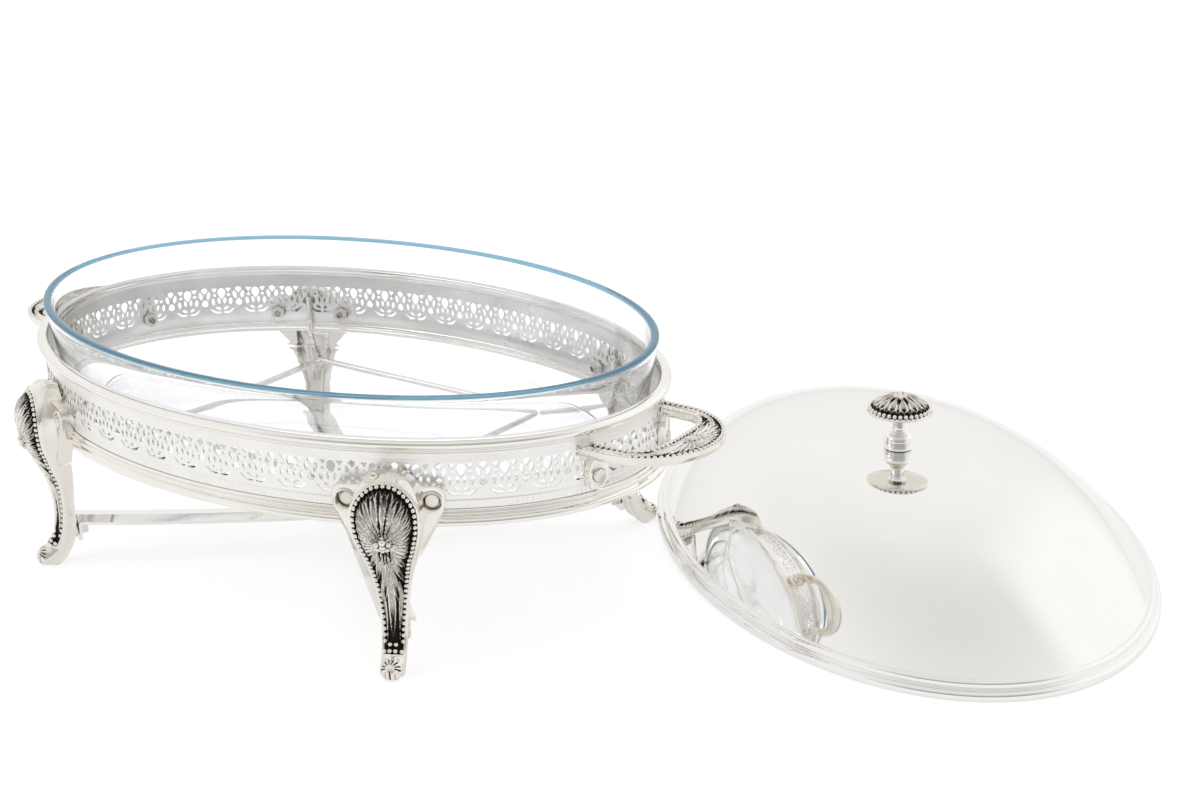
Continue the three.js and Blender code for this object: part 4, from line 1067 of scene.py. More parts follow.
def leg_body():
    """The casting as one skin: its relief front, side walls and open back."""
    down = np.append(np.arange(0.15, LEG_FRONT.length - 0.3, FRONT_ROW_STEP), LEG_FRONT.length - 0.1)
    even = np.linspace(-1, 1, FRONT_COLUMNS)
    crowded = np.sin(even * FRONT_SWEEP) / math.sin(FRONT_SWEEP)
    share = FRONT_CROWDING * crowded + (1 - FRONT_CROWDING) * even
    height, out, back_out, back_height, half_front, half_back = [row[:, None] for row in LEG_FRONT.row(down)]
    across = half_front * share
    downs = np.broadcast_to(down[:, None], across.shape)
    rise, black = leg_relief(across, downs)
    fade = soft_step(downs, 0, 1.2) * soft_drop(np.abs(share), 0.97, 1.0)
    front = LEG_FRONT.raised(across, downs, rise * fade)

    def between(x, depth):
        return np.stack([
            x, back_out + depth * (out - back_out), back_height + depth * (height - back_height),
        ], -1)

    def other_side(points):
        return (points * (-1, 1, 1))[:, ::-1]

    wall_depth = np.linspace(FRONT_SHARE, 0, WALL_STEPS)[1:]
    backward = 1 - wall_depth / FRONT_SHARE
    pinch = WALL_PINCH * np.sin(math.pi * backward)
    right = between(half_front + (half_back - half_front) * soft_step(backward, 0, 1) - pinch, wall_depth)
    hollow = np.interp(down, [0, 4, 60, 80, LEG_FRONT.length], [0.1, 1, 1, 0.5, 0.1])[:, None]
    back_right = between(half_back * BACK_SHARES, np.array(BACK_DEPTHS) * hollow)
    loop = np.concatenate([front, right, back_right, other_side(back_right[:, :-1]), other_side(right)], 1)
    plain = np.zeros((len(down), loop.shape[1] - FRONT_COLUMNS))
    dark = np.concatenate([black * fade, plain], 1)
    return grid_shape(*capped(loop, dark), around=True)


LEG_BEAD_PITCH = 2.75
LEG_BEAD_RADIUS = 1.12
LEG_BEAD_INSET = 1.75
LEG_BEAD_INSET_FALL = 0.6
# Beads of the leg's flower: across, over its middle, radius
FLOWER_BEADS = (
    (-0.1, 1.5, 1.65), (-2.7, 0.5, 1.2), (2.6, 0.2, 1.35), (0.0, -1.0, 1.5), (-1.7, -2.5, 1.15),
    (0.2, -3.1, 1.1), (1.9, -2.3, 1.15),
)


def leg_beads():
    """The row of beads inside the frame, the flower's beads and the six over the toe."""
    down = LEG_FRONT.down_at
    ahead = np.roll(LEG_FIELD, -1, 0) - np.roll(LEG_FIELD, 1, 0)
    ahead /= np.linalg.norm(ahead, axis=1, keepdims=True)
    inward = np.stack([-ahead[:, 1], ahead[:, 0]], 1)
    inset = LEG_BEAD_INSET - LEG_BEAD_INSET_FALL * soft_step(LEG_FIELD[:, 1:], down(52), down(33))
    row = along_line(LEG_FIELD + inset * inward, LEG_BEAD_PITCH, closed=True)
    beads = [(x, y, LEG_BEAD_RADIUS, -0.4) for x, y in row if y < down(14.2)]
    flower = down(LEG_FLOWER_HEIGHT)
    beads += [(x, flower - over, radius, 1.0) for x, over, radius in FLOWER_BEADS]
    beads += [(x, down(14.9), 1.05, 0.0) for x in (-1.3, 1.3)]
    beads += [(x, down(12.5), 1.1, 0.0) for x in (-3.75, -1.25, 1.25, 3.75)]
    return joined([ball(LEG_FRONT.raised(x, y, rise), radius, 12) for x, y, radius, rise in beads])


# Plates with a recess for a bolt head, bent round the band

PLATE_BACK = 0.15
PLATE_STEP = 0.6
HUB_SHARE = 0.02
RECESS_DARK = 0.22
RECESS_EDGE_DARK = 0.42


def rounded(outline, rounds=2):
    points = np.asarray(outline, float)
    for _ in range(rounds):
        ahead = np.roll(points, -1, 0)
        points = np.stack([0.75 * points + 0.25 * ahead, 0.25 * points + 0.75 * ahead], 1).reshape(-1, 2)
    return points


def bolted_plate(outline, centre, thickness, recess_radius, recess_depth, bend, border):
    """A plate in the X-Z plane with a round recess; outline and centre are across and height."""
    outline = along_line(rounded(outline), PLATE_STEP, closed=True)
    away = outline - centre
    reach = np.linalg.norm(away, axis=1, keepdims=True)
    way = away / reach
    floor = thickness - recess_depth
    rings = [(centre + HUB_SHARE * way, floor)]
    for past, out in (
        (-0.3, floor), (0, floor + 0.3), (0, thickness + 0.25), (0.35, thickness + 0.55),
        (0.8, thickness + 0.3), (1.2, thickness),
    ):
        rings.append((centre + (recess_radius + past) * way, out))
    start = recess_radius + 1.25
    rest = np.maximum(reach - start, 0.1)
    for share, part in ((0.55, 0.0), (0.8, 0.35), (0.9, 1.0), (0.97, 0.6)):
        rings.append((centre + (start + share * rest) * way, thickness + part * border))
    rings += [
        (centre + 0.985 * away, thickness - 0.25), (outline, thickness - 0.9), (outline, PLATE_BACK),
        (centre + HUB_SHARE * way, PLATE_BACK),
    ]
    flat = np.array([points for points, _ in rings])
    radius = bend + np.array([out for _, out in rings], float)[:, None]
    turn = flat[..., 0] / bend
    bent = np.stack([radius * np.sin(turn), radius * np.cos(turn) - bend, flat[..., 1]], -1)
    dark = np.zeros(turn.shape)
    dark[:2] = RECESS_DARK
    dark[2] = RECESS_EDGE_DARK
    return grid_shape(bent, dark, around=True)


def leg_ear(side):
    outline = [
        (9.0, 91.8), (15.8, 91.4), (22.8, 91.2), (25.1, 87.6), (25.0, 81.4), (21.9, 73.8), (17.6, 65.4),
        (13.0, 56.0), (9.6, 56.0), (9.6, 70.0),
    ]
    return bolted_plate(
        np.array(outline) * (side, 1), (side * EAR_SPREAD, EAR_HEIGHT), EAR_THICKNESS,
        RECESS_RADIUS, RECESS_DEPTH, LEG_BEND, 0.5,
    )


def leg_boss():
    radius = LEG_BOSS_RADIUS
    profile = [(2.2, -1.8), (radius - 0.3, -1.8), (radius, -1.5), (radius, 3.0), (2.2, 3.0)]
    return turned(profile, 32).moved(Matrix.Translation((0, 0, LEG_BOSS_HEIGHT)) @ Z_TO_OUT)


def build_legs():
    shape = joined([leg_body(), leg_beads(), leg_ear(1), leg_ear(-1), leg_boss()])
    mesh = new_mesh("leg_cast", shape, CAST, 50)
    for name, bearing in LEG_PLACES.items():
        place = OVAL.frame(bearing)
        place_piece(f"leg_{name}_cast", mesh, "stand", "cast_silver", [f"leg_{name}"], place)


# Screw heads

HEAD_DOME = 0.14
SHANK_RADIUS = 1.5
SHANK_END = -9.0


def bolt_head():
    """Low round head with a worn face, its axis along Y, standing on y = 0."""
    radius = BOLT_HEAD_RADIUS
    top = BOLT_HEAD_HEIGHT
    profile = [
        (SHANK_RADIUS, SHANK_END), (SHANK_RADIUS, 0.0), (radius, 0.0), (radius, top * 0.7),
        (radius - 0.35, top), (radius * 0.6, top + 0.1), (0, top + HEAD_DOME),
    ]
    return turned(profile, 40).moved(Z_TO_OUT)


def build_screws():
    mesh = new_mesh("bolt_head_round", bolt_head(), STEEL, 40)
    lift = EAR_THICKNESS - RECESS_DEPTH + 0.35
    lug = Matrix.Translation((0, LUG_THICKNESS + 0.1, LUG_SCREW_HEIGHT))
    places = {}
    for name, bearing in LEG_PLACES.items():
        for hand, side in HANDS:
            turn = side * EAR_SPREAD / LEG_BEND
            ear = Matrix.Rotation(-turn, 4, "Z")
            reach = LEG_BEND + lift
            ear.translation = (reach * math.sin(turn), reach * math.cos(turn) - LEG_BEND, EAR_HEIGHT)
            places[f"leg_screw_{name}_{hand}"] = OVAL.frame(bearing) @ ear
    for name, middle in HANDLE_TURNS.items():
        for hand, side in HANDS:
            bearing = middle + side * math.radians(LUG_BEARING)
            places[f"handle_screw_{name}_{hand}"] = OVAL.frame(bearing) @ lug
    for node, place in places.items():
        place_piece(f"{node}_round", mesh, "stand", "cast_silver", [node], place)


# Handles, modelled at the right-hand end of the stand

HANDLE_STEPS = 400
HANDLE_ROWS = 300
HANDLE_BEAD_PITCH = 2.9
HANDLE_BEAD_RADIUS = 1.2
HANDLE_BEAD_INSET = 1.25
HANDLE_FLOWER_RADIUS = 1.9
HANDLE_LEAF_TURN = 7.5
HANDLE_LEAF_WIDEST = 0.62
HANDLE_LEAF_WIDTH = 0.6
HANDLE_LEAF_GROWTH = 0.065
HANDLE_CREST = (190, 199)
LUG_HOLE_RADIUS = 3.4
BAND_CLEARANCE = 0.4
OPENING_SQUARENESS = 0.62
# Leaves along the arms of the loop, as steps of its middle line
ARM_LEAVES = ((110, 180), (90, 164), (70, 150), (52, 130), (30, 105))
# Walls under the face, from outer to inner edge: edge, shift away from the opening, depth below the top
HANDLE_WALLS = (
    ("outer", -0.05, 0.9), ("outer", 0.0, 2.2), ("outer", -0.15, HANDLE_THICKNESS - 0.8),
    ("outer", -0.8, HANDLE_THICKNESS), ("inner", 0.8, HANDLE_THICKNESS),
    ("inner", -0.05, HANDLE_THICKNESS - 0.8), ("inner", -0.2, 2.2), ("inner", -0.15, 0.9),
)


def handle_line(shoulder, reach, half_width, squareness, count):
    """Points at even steps along one edge of the loop, from one side of the band to the other."""
    turn = np.linspace(-math.pi / 2, math.pi / 2, HANDLE_STEPS)
    sine = np.sin(turn)
    x = shoulder + (reach - shoulder) * np.maximum(np.cos(turn), 0) ** squareness
    y = half_width * np.sign(sine) * np.abs(sine) ** squareness
    line = np.vstack([[HANDLE_BASE, -half_width], np.stack([x, y], 1), [HANDLE_BASE, half_width]])
    return points_at(line, np.linspace(0, reach_along(line)[-1], count))


def handle_edges(count):
    """Inner and outer edge of the loop, and the ways from the one to the other."""
    outer = handle_line(HANDLE_SHOULDER, HANDLE_REACH, HANDLE_HALF_WIDTH, 1.0, count)
    inner = handle_line(
        HANDLE_OPENING_SHOULDER, HANDLE_OPENING_REACH, HANDLE_OPENING_HALF_WIDTH, OPENING_SQUARENESS, count,
    )
    away = outer - inner
    return inner, outer, away / np.linalg.norm(away, axis=1, keepdims=True)


def handle_leaves():
    """Leaves that spread from the flower over the crest, and those that lie along the arms."""
    middle = np.array(HANDLE_FLOWER)
    inner, outer, _ = handle_edges(HANDLE_STEPS)
    ring = np.vstack([outer, inner[::-1]])
    leaves = []

    def fits(places):
        gap_out, _ = distance_to_line(places, outer)
        gap_in, _ = distance_to_line(places, inner)
        return inside_outline(places, ring) & (gap_out > 2.5) & (gap_in > 2.4)

    for k, angle in enumerate(np.radians(np.arange(-180, 180, HANDLE_LEAF_TURN))):
        way = heading(angle)
        length = free_length(middle, way, 2, 26, 0.2, fits)
        if k % 2:
            start, half_width, lift = 0.45 * length, 1.9, 0.6
        else:
            start, half_width, lift = 1.6, HANDLE_LEAF_WIDTH + HANDLE_LEAF_GROWTH * length, 1.0
        line = np.linspace(middle + start * way, middle + length * way, 6)
        leaves.append((line, half_width, HANDLE_LEAF_WIDEST, lift))
    arm = 0.46 * inner + 0.54 * outer
    for start, end in ARM_LEAVES:
        other = arm[HANDLE_STEPS - end:HANDLE_STEPS - start:8][::-1]
        leaves += [(line, 1.25, 0.55, 0.9) for line in (arm[start:end:8], other)]
    return leaves


def handle_loop():
    """The loop as one skin: its relief face, its edges and its underside."""
    inner, outer, away = handle_edges(HANDLE_ROWS)
    share = np.linspace(0, 1, 40)
    flat = inner[:, None] + share[None, :, None] * (outer - inner)[:, None]
    points = flat.reshape(-1, 2)
    gap_in, _ = distance_to_line(points, inner)
    gap_out, _ = distance_to_line(points, outer)
    gap = np.minimum(gap_in, gap_out)
    leaf = leaf_relief(points, handle_leaves()) * soft_step(gap, 2.2, 2.7)
    rise = leaf + 0.4 * soft_step(gap, 2.4, 4.5) - 0.9 * soft_step(gap, 0.35, 0.8)
    crest = soft_step(points[:, 0], *HANDLE_CREST) * soft_step(gap, 0.4, 0.8)
    channel = 0.8 * soft_step(gap, 0.5, 0.8) * soft_drop(gap, 2.0, 2.4)
    # Oxidised black in the channel and among the leaves, with painted shade over the leaf faces from
    # leaf_tone
    black = np.maximum(channel, crest * leaf_tone(leaf)).reshape(HANDLE_ROWS, -1)
    face = np.concatenate([flat, (HANDLE_TOP - 0.35 + rise).reshape(HANDLE_ROWS, -1, 1)], -1)
    walls = []
    for edge, shift, depth in HANDLE_WALLS:
        line = (outer if edge == "outer" else inner) + shift * away
        walls.append(np.concatenate([line, np.full((HANDLE_ROWS, 1), HANDLE_TOP - depth)], 1)[:, None])
    loop = np.concatenate([face, *walls], 1)
    dark = np.concatenate([black, np.zeros((HANDLE_ROWS, len(walls)))], 1)
    loop, dark = capped(loop, dark)
    return grid_shape(clear_of_band(loop), dark, around=True)


def clear_of_band(points):
    """Moves what would cross the band out to its face."""
    x, y = points[..., 0], points[..., 1]
    half_length = BAND_HALF_LENGTH + BAND_CLEARANCE
    half_width = BAND_HALF_WIDTH + BAND_CLEARANCE
    face = half_length * np.sqrt(np.maximum(1 - (y / half_width) ** 2, 0))
    moved = points.copy()
    moved[..., 0] = np.where((x / half_length) ** 2 + (y / half_width) ** 2 < 1, face, x)
    return moved


def handle_beads():
    """Rows of beads along both edges of the loop, and the flower."""
    inner, outer, away = handle_edges(HANDLE_STEPS)
    beads = []
    for line, shift in ((outer, -HANDLE_BEAD_INSET), (inner, HANDLE_BEAD_INSET)):
        for x, y in along_line((line + shift * away)[14:-14], HANDLE_BEAD_PITCH):
            beads.append(((x, y, HANDLE_TOP - 0.9), HANDLE_BEAD_RADIUS))
    for turn in full_turn(6):
        x, y = HANDLE_FLOWER + HANDLE_FLOWER_RADIUS * heading(turn)
        beads.append(((x, y, HANDLE_TOP - 0.2), 0.9))
    beads.append(((*HANDLE_FLOWER, HANDLE_TOP), 1.05))
    return joined([ball(centre, radius) for centre, radius in beads])


def handle_lug(side):
    bearing = side * math.radians(LUG_BEARING)
    half = [(0, 79.1), (2.4, 79.3), (4.6, 80.4), (5.6, 82.5), (5.6, 98.0)]
    outline = [(-x, z) for x, z in half[:0:-1]] + half
    plate = bolted_plate(
        outline, (0.0, LUG_SCREW_HEIGHT), LUG_THICKNESS, LUG_HOLE_RADIUS, 0.0, OVAL.bend_radius(bearing), 0.7,
    )
    return plate.moved(OVAL.frame(bearing))


def build_handles():
    shape = joined([handle_loop(), handle_beads(), handle_lug(1), handle_lug(-1)])
    mesh = new_mesh("handle_cast", shape, CAST, 50)
    for name, turn in HANDLE_TURNS.items():
        place = Matrix.Rotation(turn, 4, "Z")
        place_piece(f"handle_{name}_cast", mesh, "stand", "cast_silver", [f"handle_{name}"], place)


# Wire cradle

HANGER_GAP = 0.7
HANGER_FOOT_GAP = 1.9


def build_cradle():
    straight_x = CRADLE_HALF_LENGTH - CRADLE_CORNER
    straight_y = CRADLE_HALF_WIDTH - CRADLE_CORNER
    line = []
    for sx, sy, start in ((1, 1, 0), (-1, 1, 90), (-1, -1, 180), (1, -1, 270)):
        for turn in np.radians(start + np.linspace(0, 90, 9)):
            x = sx * straight_x + CRADLE_CORNER * math.cos(turn)
            line.append((x, sy * straight_y + CRADLE_CORNER * math.sin(turn), CRADLE_HEIGHT))
    wire = tube(line, CRADLE_WIRE, closed=True)
    add_piece("cradle_loop_wire", wire, WIRE, 60, "stand", "wire", ["cradle_loop"])


def hanger_path(bearing):
    """Down behind the band, round under the lower rim and inward to a corner of the loop."""
    behind = -BAND_THICKNESS - HANGER_GAP - CRADLE_WIRE
    cut = CRADLE_CORNER * (1 - math.sqrt(0.5))
    corner = np.array([
        math.copysign(CRADLE_HALF_LENGTH - cut, math.cos(bearing)),
        math.copysign(CRADLE_HALF_WIDTH - cut, math.sin(bearing)),
        CRADLE_HEIGHT,
    ])
    top, under_rim, elbow = [
        OVAL.at_turn(bearing, behind, height) for height in (HANGER_TOP, LOWER_RIM_BOTTOM, CRADLE_HEIGHT)
    ]
    inward = (corner - elbow) / np.linalg.norm(corner - elbow)
    run = elbow + HANGER_ELBOW * inward
    foot = corner - HANGER_FOOT_GAP * CRADLE_WIRE * inward
    path = [top + s * (under_rim - top) for s in np.linspace(0, 1, 8)[:-1]]
    for t in np.linspace(0, 1, 14)[:-1]:
        path.append((1 - t) ** 2 * under_rim + 2 * t * (1 - t) * elbow + t ** 2 * run)
    path += [run + s * (foot - run) for s in np.linspace(0, 1, 8)]
    return np.array(path)


def build_hangers():
    for name, bearing in LEG_PLACES.items():
        node = f"cradle_hanger_{name}"
        add_piece(f"{node}_wire", tube(hanger_path(bearing), CRADLE_WIRE), WIRE, 60, "stand", "wire", [node])


# Tea light

CUP_RADIUS = 19.0
CUP_RIBS = 72
RIB_DEPTH = 0.12
WAX_HEIGHT = 12.1
WICK_LENGTH = 6.0
WICK_RADIUS = 0.8


def build_tealight():
    """Cup, wax, wick and holder; heights in the cup's and the wax's profiles are over the cup's floor."""
    above = (0, TEALIGHT_BOTTOM)
    profile = above + smooth_line([
        (0.01, 0.5), (12, 0.4), (17.6, 0), (18.5, 1.0), (18.6, 6), (18.65, 13.4), (19.0, 14.4), (18.8, 15.0),
        (18.3, 14.6), (18.2, 13.0), (18.1, 6), (18.0, 1.6), (12, 0.9), (0.01, 0.9),
    ], 5)
    radius, height = profile[:, :1], profile[:, 1:]
    turn = full_turn(CUP_RIBS * 4)
    over_floor = height - TEALIGHT_BOTTOM
    ribs = RIB_DEPTH * np.cos(CUP_RIBS * turn) * soft_step(over_floor, 1, 3) * soft_drop(over_floor, 12, 13.5)
    reach = np.minimum(radius + ribs, CUP_RADIUS)
    cup = grid_shape(rings_at(reach, reach, height, turn), around=True)
    add_piece("tealight_cup_ribbed", cup, ALUMINIUM, 50, "tealight", "aluminium", ["tealight_cup"])
    top = WAX_HEIGHT
    wax = above + smooth_line([
        (0.01, 1.3), (17.6, 1.3), (17.75, top - 0.2), (17.2, top + 0.1), (12, top - 0.3), (4, top - 0.5),
        (1.4, top + 0.1), (0.01, top + 0.3),
    ], 6)
    add_piece("tealight_wax_poured", turned(wax, 96), WAX, 50, "tealight", "wax", ["tealight_wax"])
    share = np.linspace(0, 1, 12)
    up = TEALIGHT_BOTTOM + WAX_HEIGHT - 0.4 + WICK_LENGTH * share
    wick = np.stack([0.6 * share ** 2, 0.3 * share ** 2, up], 1)
    add_piece("tealight_wick", tube(wick, WICK_RADIUS, 12), WICK, 50, "tealight", "wax")
    holder = (0, HOLDER_BOTTOM) + smooth_line([
        (2.2, 0.0), (20.4, 0.0), (21.8, 0.5), (22.3, 1.9), (22.3, 7.7), (22.2, 8.6), (21.7, 9.0),
        (21.2, 8.6), (21.1, 7.7), (21.1, 2.1), (20.4, 1.2), (2.2, 1.2),
    ], 4)
    add_piece("tealight_holder_spun", turned(holder, 120), SILVER, 40, "stand", "silver", ["tealight_holder"])


# Glass dish

def oval_rings(half_length, half_width, profile, turn):
    """Rings of an oval solid from its profile of inset and height."""
    profile = np.asarray(profile, float)
    inset = profile[:, :1]
    return rings_at(half_length - inset, half_width - inset, profile[:, 1:], turn)


GLASS_SEGMENTS = 256
BLUE_RIM = (127.9, 128.9)
CENTRE_SHARE = 0.0005


def build_glass():
    low = GLASS_BOTTOM
    top = GLASS_RIM_TOP - 0.08
    profile = smooth_line([
        (60.0, low + 0.02), (28.0, low), (24.0, low + 0.1), (19.0, low + 1.0), (15.2, low + 3.2),
        (11.6, 74.0), (8.7, 80.0), (5.6, 96.0), (3.2, 112.0), (1.7, 122.0), (0.9, 126.0), (0.25, 128.2),
        (0.5, 129.4), (1.5, top), (2.6, top), (3.9, 129.5), (4.6, 128.2), (4.9, 126.0), (5.6, 120.0),
        (7.4, 108.0), (9.6, 95.0), (12.6, 82.5), (15.6, 77.2), (19.4, 74.0), (24.0, 72.2), (29.0, 71.6),
        (60.0, 71.55),
    ], 5)
    rings = oval_rings(GLASS_HALF_LENGTH, GLASS_HALF_WIDTH, profile, full_turn(GLASS_SEGMENTS))
    under = [rings[0] * (share, share, 1) for share in (CENTRE_SHARE, 0.5)]
    floor = [rings[-1] * (share, share, 1) for share in (0.5, CENTRE_SHARE)]
    rows = np.array([*under, *rings, *floor])
    tint = np.broadcast_to(soft_step(rows[..., 2], *BLUE_RIM), rows.shape[:2])
    add_piece(
        "glass_dish_pressed", grid_shape(rows, tint, around=True), GLASS, 60, "dish", "glass", ["glass_dish"],
    )


# Lid and knob

LID_SEGMENTS = 320
LID_RINGS = 64
LID_CENTRE_SHARE = 0.012


def dome_height(share):
    return LID_STEP_HEIGHT + (LID_DOME_HEIGHT - LID_STEP_HEIGHT) * (1 - share ** LID_FULLNESS)


def build_lid():
    """The edge from inside to outside, the dome, and both again from below."""
    turn = full_turn(LID_SEGMENTS)
    shares = np.append(np.sin(np.linspace(math.pi / 2, 0, LID_RINGS))[1:-1], LID_CENTRE_SHARE)[:, None]

    def dome(drop):
        half_length = LID_HALF_LENGTH - LID_FOOT_INSET - drop
        half_width = LID_HALF_WIDTH - LID_FOOT_INSET - drop
        return rings_at(shares * half_length, shares * half_width, dome_height(shares) - drop, turn)

    def edge(profile):
        return oval_rings(LID_HALF_LENGTH, LID_HALF_WIDTH, profile, turn)

    outer_edge = edge(smooth_line([
        (3.9, 0.05), (1.6, 0.06), (0.4, 0.7), (0.06, 2.0), (0.4, 3.6), (1.6, 4.6), (2.8, 4.7), (3.1, 5.3),
        (2.9, 6.4), (3.1, 7.9), (4.1, 8.9), (5.3, 8.9), (6.1, 8.5), (6.55, 8.7),
    ], 5))
    inner_edge = edge([(7.9, 7.4), (6.4, 7.5), (4.8, 7.2), (4.4, 5.4), (3.9, 2.6)])
    points = np.concatenate([outer_edge, dome(0.0), dome(LID_SHEET)[::-1], inner_edge])
    shell = grid_shape(points, around=True, along=True)
    place = Matrix.Rotation(math.radians(LID_TURN), 4, "Z")
    add_piece("lid_shell_spun", shell, LID_SILVER, 60, "lid", "silver", ["lid_shell"], place, LID_AT)


def build_knob():
    stem = smooth_line([
        (2.3, 0), (6.9, 0), (7.5, 0.5), (7.8, 1.5), (7.85, 3.0), (7.8, 4.6), (7.5, 6.0), (6.9, 7.2),
        (5.9, 8.2), (5.1, 8.7), (4.9, 9.2), (4.2, 9.8), (3.75, 10.9), (3.6, 13.6), (3.75, 16.2), (4.3, 17.4),
        (5.0, 18.1), (5.0, 18.5), (2.3, 18.5),
    ], 4)
    shape = turned(stem + (0, LID_DOME_HEIGHT + 0.2), 72)
    add_piece("knob_stem_turned", shape, LID_SILVER, 50, "lid", "silver", ["knob_stem"], AS_BUILT, LID_AT)
    add_piece("knob_cap_cast", knob_cap(), CAST, 50, "lid", "cast_silver", ["knob_cap"], AS_BUILT, LID_AT)


CAP_BOTTOM = LID_DOME_HEIGHT + 0.35 + KNOB_STEM_HEIGHT + 0.35
CAP_LEAVES = 13
CAP_BEADS = 34
CAP_BEAD_RADIUS = 1.2
CAP_RINGS = 64
CAP_SPOKES = 288
CAP_LEAF_HEIGHT = 1.2
CAP_CHANNEL_DEPTH = 0.9
CAP_FULLNESS = 2.1
CAP_ROUNDING = 0.72
# Underside of the cap as radius and height over its bottom
CAP_UNDERSIDE = np.array([
    (KNOB_CAP_RADIUS, 1.4), (KNOB_CAP_RADIUS - 0.2, 0.6), (KNOB_CAP_RADIUS - 1.2, 0.1), (10, 0.5), (5, 0.7),
    (0.02, 0.7),
])
ROD_TIP = LID_DOME_HEIGHT - LID_SHEET - 5.5


def cap_height(reach):
    share = reach / KNOB_CAP_RADIUS
    return CAP_BOTTOM + 1.2 + (KNOB_CAP_HEIGHT - 1.6) * (1 - share ** CAP_FULLNESS) ** CAP_ROUNDING


def cap_skin():
    """The cap's top with its leaves, and its underside."""
    edge = KNOB_CAP_RADIUS
    leaves = []
    for angle in full_turn(CAP_LEAVES):
        way = heading(angle)
        leaves.append((np.linspace(3.6 * way, (edge - 2.2) * way, 7), 2.5, 0.72, 1.0))
        way = heading(angle + math.pi / CAP_LEAVES)
        leaves.append((np.linspace(9.0 * way, (edge - 2.2) * way, 6), 1.5, 0.6, 0.7))
    reach = np.linspace(0.02, edge - 0.3, CAP_RINGS)[:, None]
    turn = full_turn(CAP_SPOKES)
    top = rings_at(reach, reach, cap_height(reach) - 0.7, turn)
    leaf = leaf_relief(top[..., :2].reshape(-1, 2), leaves).reshape(CAP_RINGS, CAP_SPOKES)
    leaf *= soft_drop(reach, edge - 2.6, edge - 2.2)
    channel = soft_step(reach, edge - 2.6, edge - 2.2) * soft_drop(reach, edge - 0.9, edge - 0.4)
    top[..., 2] += CAP_LEAF_HEIGHT * leaf - CAP_CHANNEL_DEPTH * channel
    top[..., 2] = np.minimum(top[..., 2], CAP_BOTTOM + KNOB_CAP_HEIGHT)
    # Oxidised black among the cap's leaves, with painted shade over the leaf faces from leaf_tone
    black = leaf_tone(leaf) * soft_drop(reach, edge - 1.5, edge - 1.0)
    radius, height = CAP_UNDERSIDE[:, :1], CAP_UNDERSIDE[:, 1:]
    under = rings_at(radius, radius, CAP_BOTTOM + height, turn)
    dark = np.concatenate([black, np.zeros(under.shape[:2])])
    return grid_shape(np.concatenate([top, under]), dark, around=True)


def knob_cap():
    """Domed cap with a beaded edge, leaves that spread from a small flower, and its rod."""
    pieces = [cap_skin()]
    top = CAP_BOTTOM + KNOB_CAP_HEIGHT
    reach = KNOB_CAP_RADIUS - 1.3
    for angle in full_turn(CAP_BEADS):
        pieces.append(ball((*(reach * heading(angle)), cap_height(reach) - 0.6), CAP_BEAD_RADIUS))
    for angle in full_turn(6):
        pieces.append(ball((*(3.0 * heading(angle)), top - 1.6), 1.55))
    pieces.append(ball((0, 0, top - 1.7), 1.65))
    rod = [
        (0, ROD_TIP), (1.7, ROD_TIP + 0.2), (1.9, ROD_TIP + 0.6), (1.9, CAP_BOTTOM + 1), (0, CAP_BOTTOM + 1),
    ]
    return joined([*pieces, turned(rod, 24)])


# Camera, light and floor

CAMERA_YAW = 0.596
CAMERA_PITCH = 0.348
CAMERA_ROLL = -0.011
CAMERA_LENS = 57.73
CAMERA_SENSOR = 36.0
CAMERA_RANGE = (0.01, 50.0)
CAMERA_PLACE = Vector((0.6294, -0.6959, 0.4151))
# Levels of the studio by height over the horizon: its walls, and the open side that stands darker
WALL_LEVELS = ((0.0, 0.86), (0.1, 0.92), (0.4, 0.96), (0.75, 0.90), (1.0, 0.78))
OPENING_LEVELS = (
    (0.0, 0.72), (0.04, 0.40), (0.12, 0.34), (0.2, 0.42), (0.5, 0.48), (0.75, 0.80), (1.0, 0.86),
)
PANEL_COLOUR = (1.04, 1.04, 1.035, 1)
# Directions to the open side and to the large bright panel, and the cosines where they begin and are full
DIM_SIDE = (0.528, -0.779, 0.338)
BRIGHT_SIDE = (0.40, 0.80, 0.44)
DIM_ZONE = (0.45, 0.90)
BRIGHT_ZONE = (0.76, 0.93)
FLOOR_REACH = 4.0
FLOOR_PAINT = (0.40, 0.40, 0.40, 1)
# How brightly the floor shows itself, by the kind of ray that meets it
FLOOR_GLOW = (("Is Transmission Ray", 0.60), ("Is Camera Ray", 0.72), ("Is Glossy Ray", 0.54))


def build_camera():
    right = Vector((math.cos(CAMERA_YAW), math.sin(CAMERA_YAW), 0))
    away = Vector((-math.sin(CAMERA_YAW), math.cos(CAMERA_YAW), 0))
    up = Vector((0, 0, 1))
    forward = away * math.cos(CAMERA_PITCH) - up * math.sin(CAMERA_PITCH)
    above = away * math.sin(CAMERA_PITCH) + up * math.cos(CAMERA_PITCH)
    side = right * math.cos(CAMERA_ROLL) + above * math.sin(CAMERA_ROLL)
    top = above * math.cos(CAMERA_ROLL) - right * math.sin(CAMERA_ROLL)
    data = bpy.data.cameras.new("camera")
    data.lens = CAMERA_LENS
    data.sensor_width = CAMERA_SENSOR
    data.sensor_fit = "HORIZONTAL"
    data.clip_start, data.clip_end = CAMERA_RANGE
    camera = add_object("camera", data)
    facing = Matrix((side, top, -forward)).transposed().to_4x4()
    camera.matrix_world = Matrix.Translation(STAND_AT + CAMERA_PLACE) @ facing
    bpy.context.scene.camera = camera
    return right, away


def height_ramp(tree, height, stops):
    """A warm grey that changes with height over the horizon; a stop is its height and its level."""
    ramp = tree.new("ValToRGB")
    elements = ramp.color_ramp.elements
    while len(elements) < len(stops):
        elements.new(0.5)
    for element, (position, level) in zip(elements, stops):
        element.position = position
        element.color = (level, 0.995 * level, 0.985 * level, 1)
    return tree.fill(ramp, {"Fac": height})["Color"]


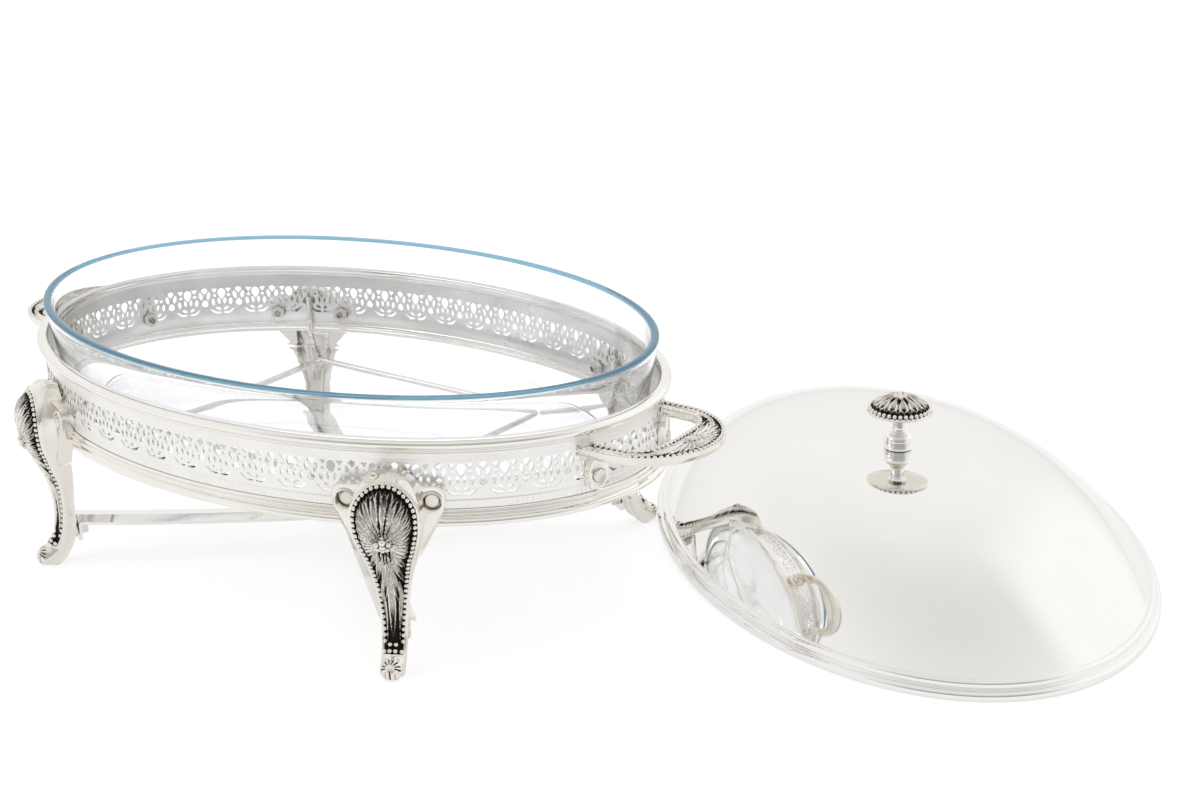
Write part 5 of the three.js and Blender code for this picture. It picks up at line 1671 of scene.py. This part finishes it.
def side_cover(tree, direction, side, low, high):
    """How far a direction lies within a round zone about one side: 0 at the low cosine, 1 at the high one."""
    toward = tree.new("VectorMath")
    toward.operation = "DOT_PRODUCT"
    cosine = tree.fill(toward, {0: direction, 1: side})["Value"]
    cover = tree.new("MapRange")
    cover.interpolation_type = "SMOOTHSTEP"
    return tree.fill(cover, {"Value": cosine, "From Min": low, "From Max": high})["Result"]


def build_world():
    """A studio of warm grey walls; seen directly or through glass it is plain white."""
    world = bpy.data.worlds.new("studio")
    bpy.context.scene.world = world
    tree = NodeTree(world)
    direction = tree.add("TexCoord")["Generated"]
    height = tree.add("SeparateXYZ", Vector=direction)["Z"]
    path = tree.add("LightPath")
    seen = tree.math("ADD", path["Is Camera Ray"], path["Is Transmission Ray"])
    walls = height_ramp(tree, height, WALL_LEVELS)
    opening = height_ramp(tree, height, OPENING_LEVELS)
    studio = tree.mix(side_cover(tree, direction, DIM_SIDE, *DIM_ZONE), walls, opening)
    studio = tree.mix(side_cover(tree, direction, BRIGHT_SIDE, *BRIGHT_ZONE), studio, PANEL_COLOUR)
    background = tree.add("Background", Color=tree.mix(seen, studio, WHITE))
    tree.add("OutputWorld", Surface=background["Background"])


def floor_material():
    """White table that takes shadows and shows a glow of its own to the rays that see it."""
    tree = new_material("white_table")
    path = tree.add("LightPath")
    strength = 0.0
    for ray, level in FLOOR_GLOW:
        strength = tree.math("MULTIPLY_ADD", path[ray], level, strength)
    paint = tree.add("BsdfDiffuse", Color=FLOOR_PAINT)["BSDF"]
    glow = tree.add("Emission", Color=WHITE, Strength=strength)["Emission"]
    both = tree.fill(tree.new("AddShader"), {0: paint, 1: glow})
    tree.add("OutputMaterial", Surface=both["Shader"])
    return tree.owner


def build_floor():
    mesh = bpy.data.meshes.new("floor")
    corners = [(x * FLOOR_REACH, y * FLOOR_REACH, 0) for x, y in ((-1, -1), (1, -1), (1, 1), (-1, 1))]
    mesh.from_pydata(corners, [], [(0, 1, 2, 3)])
    mesh.materials.append(floor_material())
    floor = add_object("floor", mesh)


def build_lamp(name, place, aim, size, power):
    data = bpy.data.lights.new(name, "AREA")
    data.shape = "RECTANGLE"
    data.size, data.size_y = size
    data.energy = power
    lamp = add_object(name, data)
    toward = Vector(aim) - place
    lamp.matrix_world = Matrix.Translation(place) @ toward.to_track_quat("-Z", "Y").to_matrix().to_4x4()
    lamp.visible_glossy = False


def build_stage():
    bpy.context.scene.view_settings.view_transform = "Standard"
    right, away = build_camera()
    build_world()
    build_floor()
    over = Vector((0, 0, 1.5)) + 0.2 * away
    build_lamp("softbox_top", over, (0, 0, 0), (1.6, 1.2), 5.0)
    left = Vector((0, 0, 0.9)) - 1.3 * right - 0.4 * away
    build_lamp("softbox_left", left, (0, 0, 0.05), (0.9, 0.9), 3.0)


build_band()
build_rims()
build_legs()
build_screws()
build_handles()
build_cradle()
build_hangers()
build_tealight()
build_glass()
build_lid()
build_knob()
for node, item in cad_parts.items():
    finish = SILVER if node.startswith(("strap_lower", "strap_upper")) else STEEL
    item.data.materials.clear()
    item.data.materials.append(finish)
build_stage()
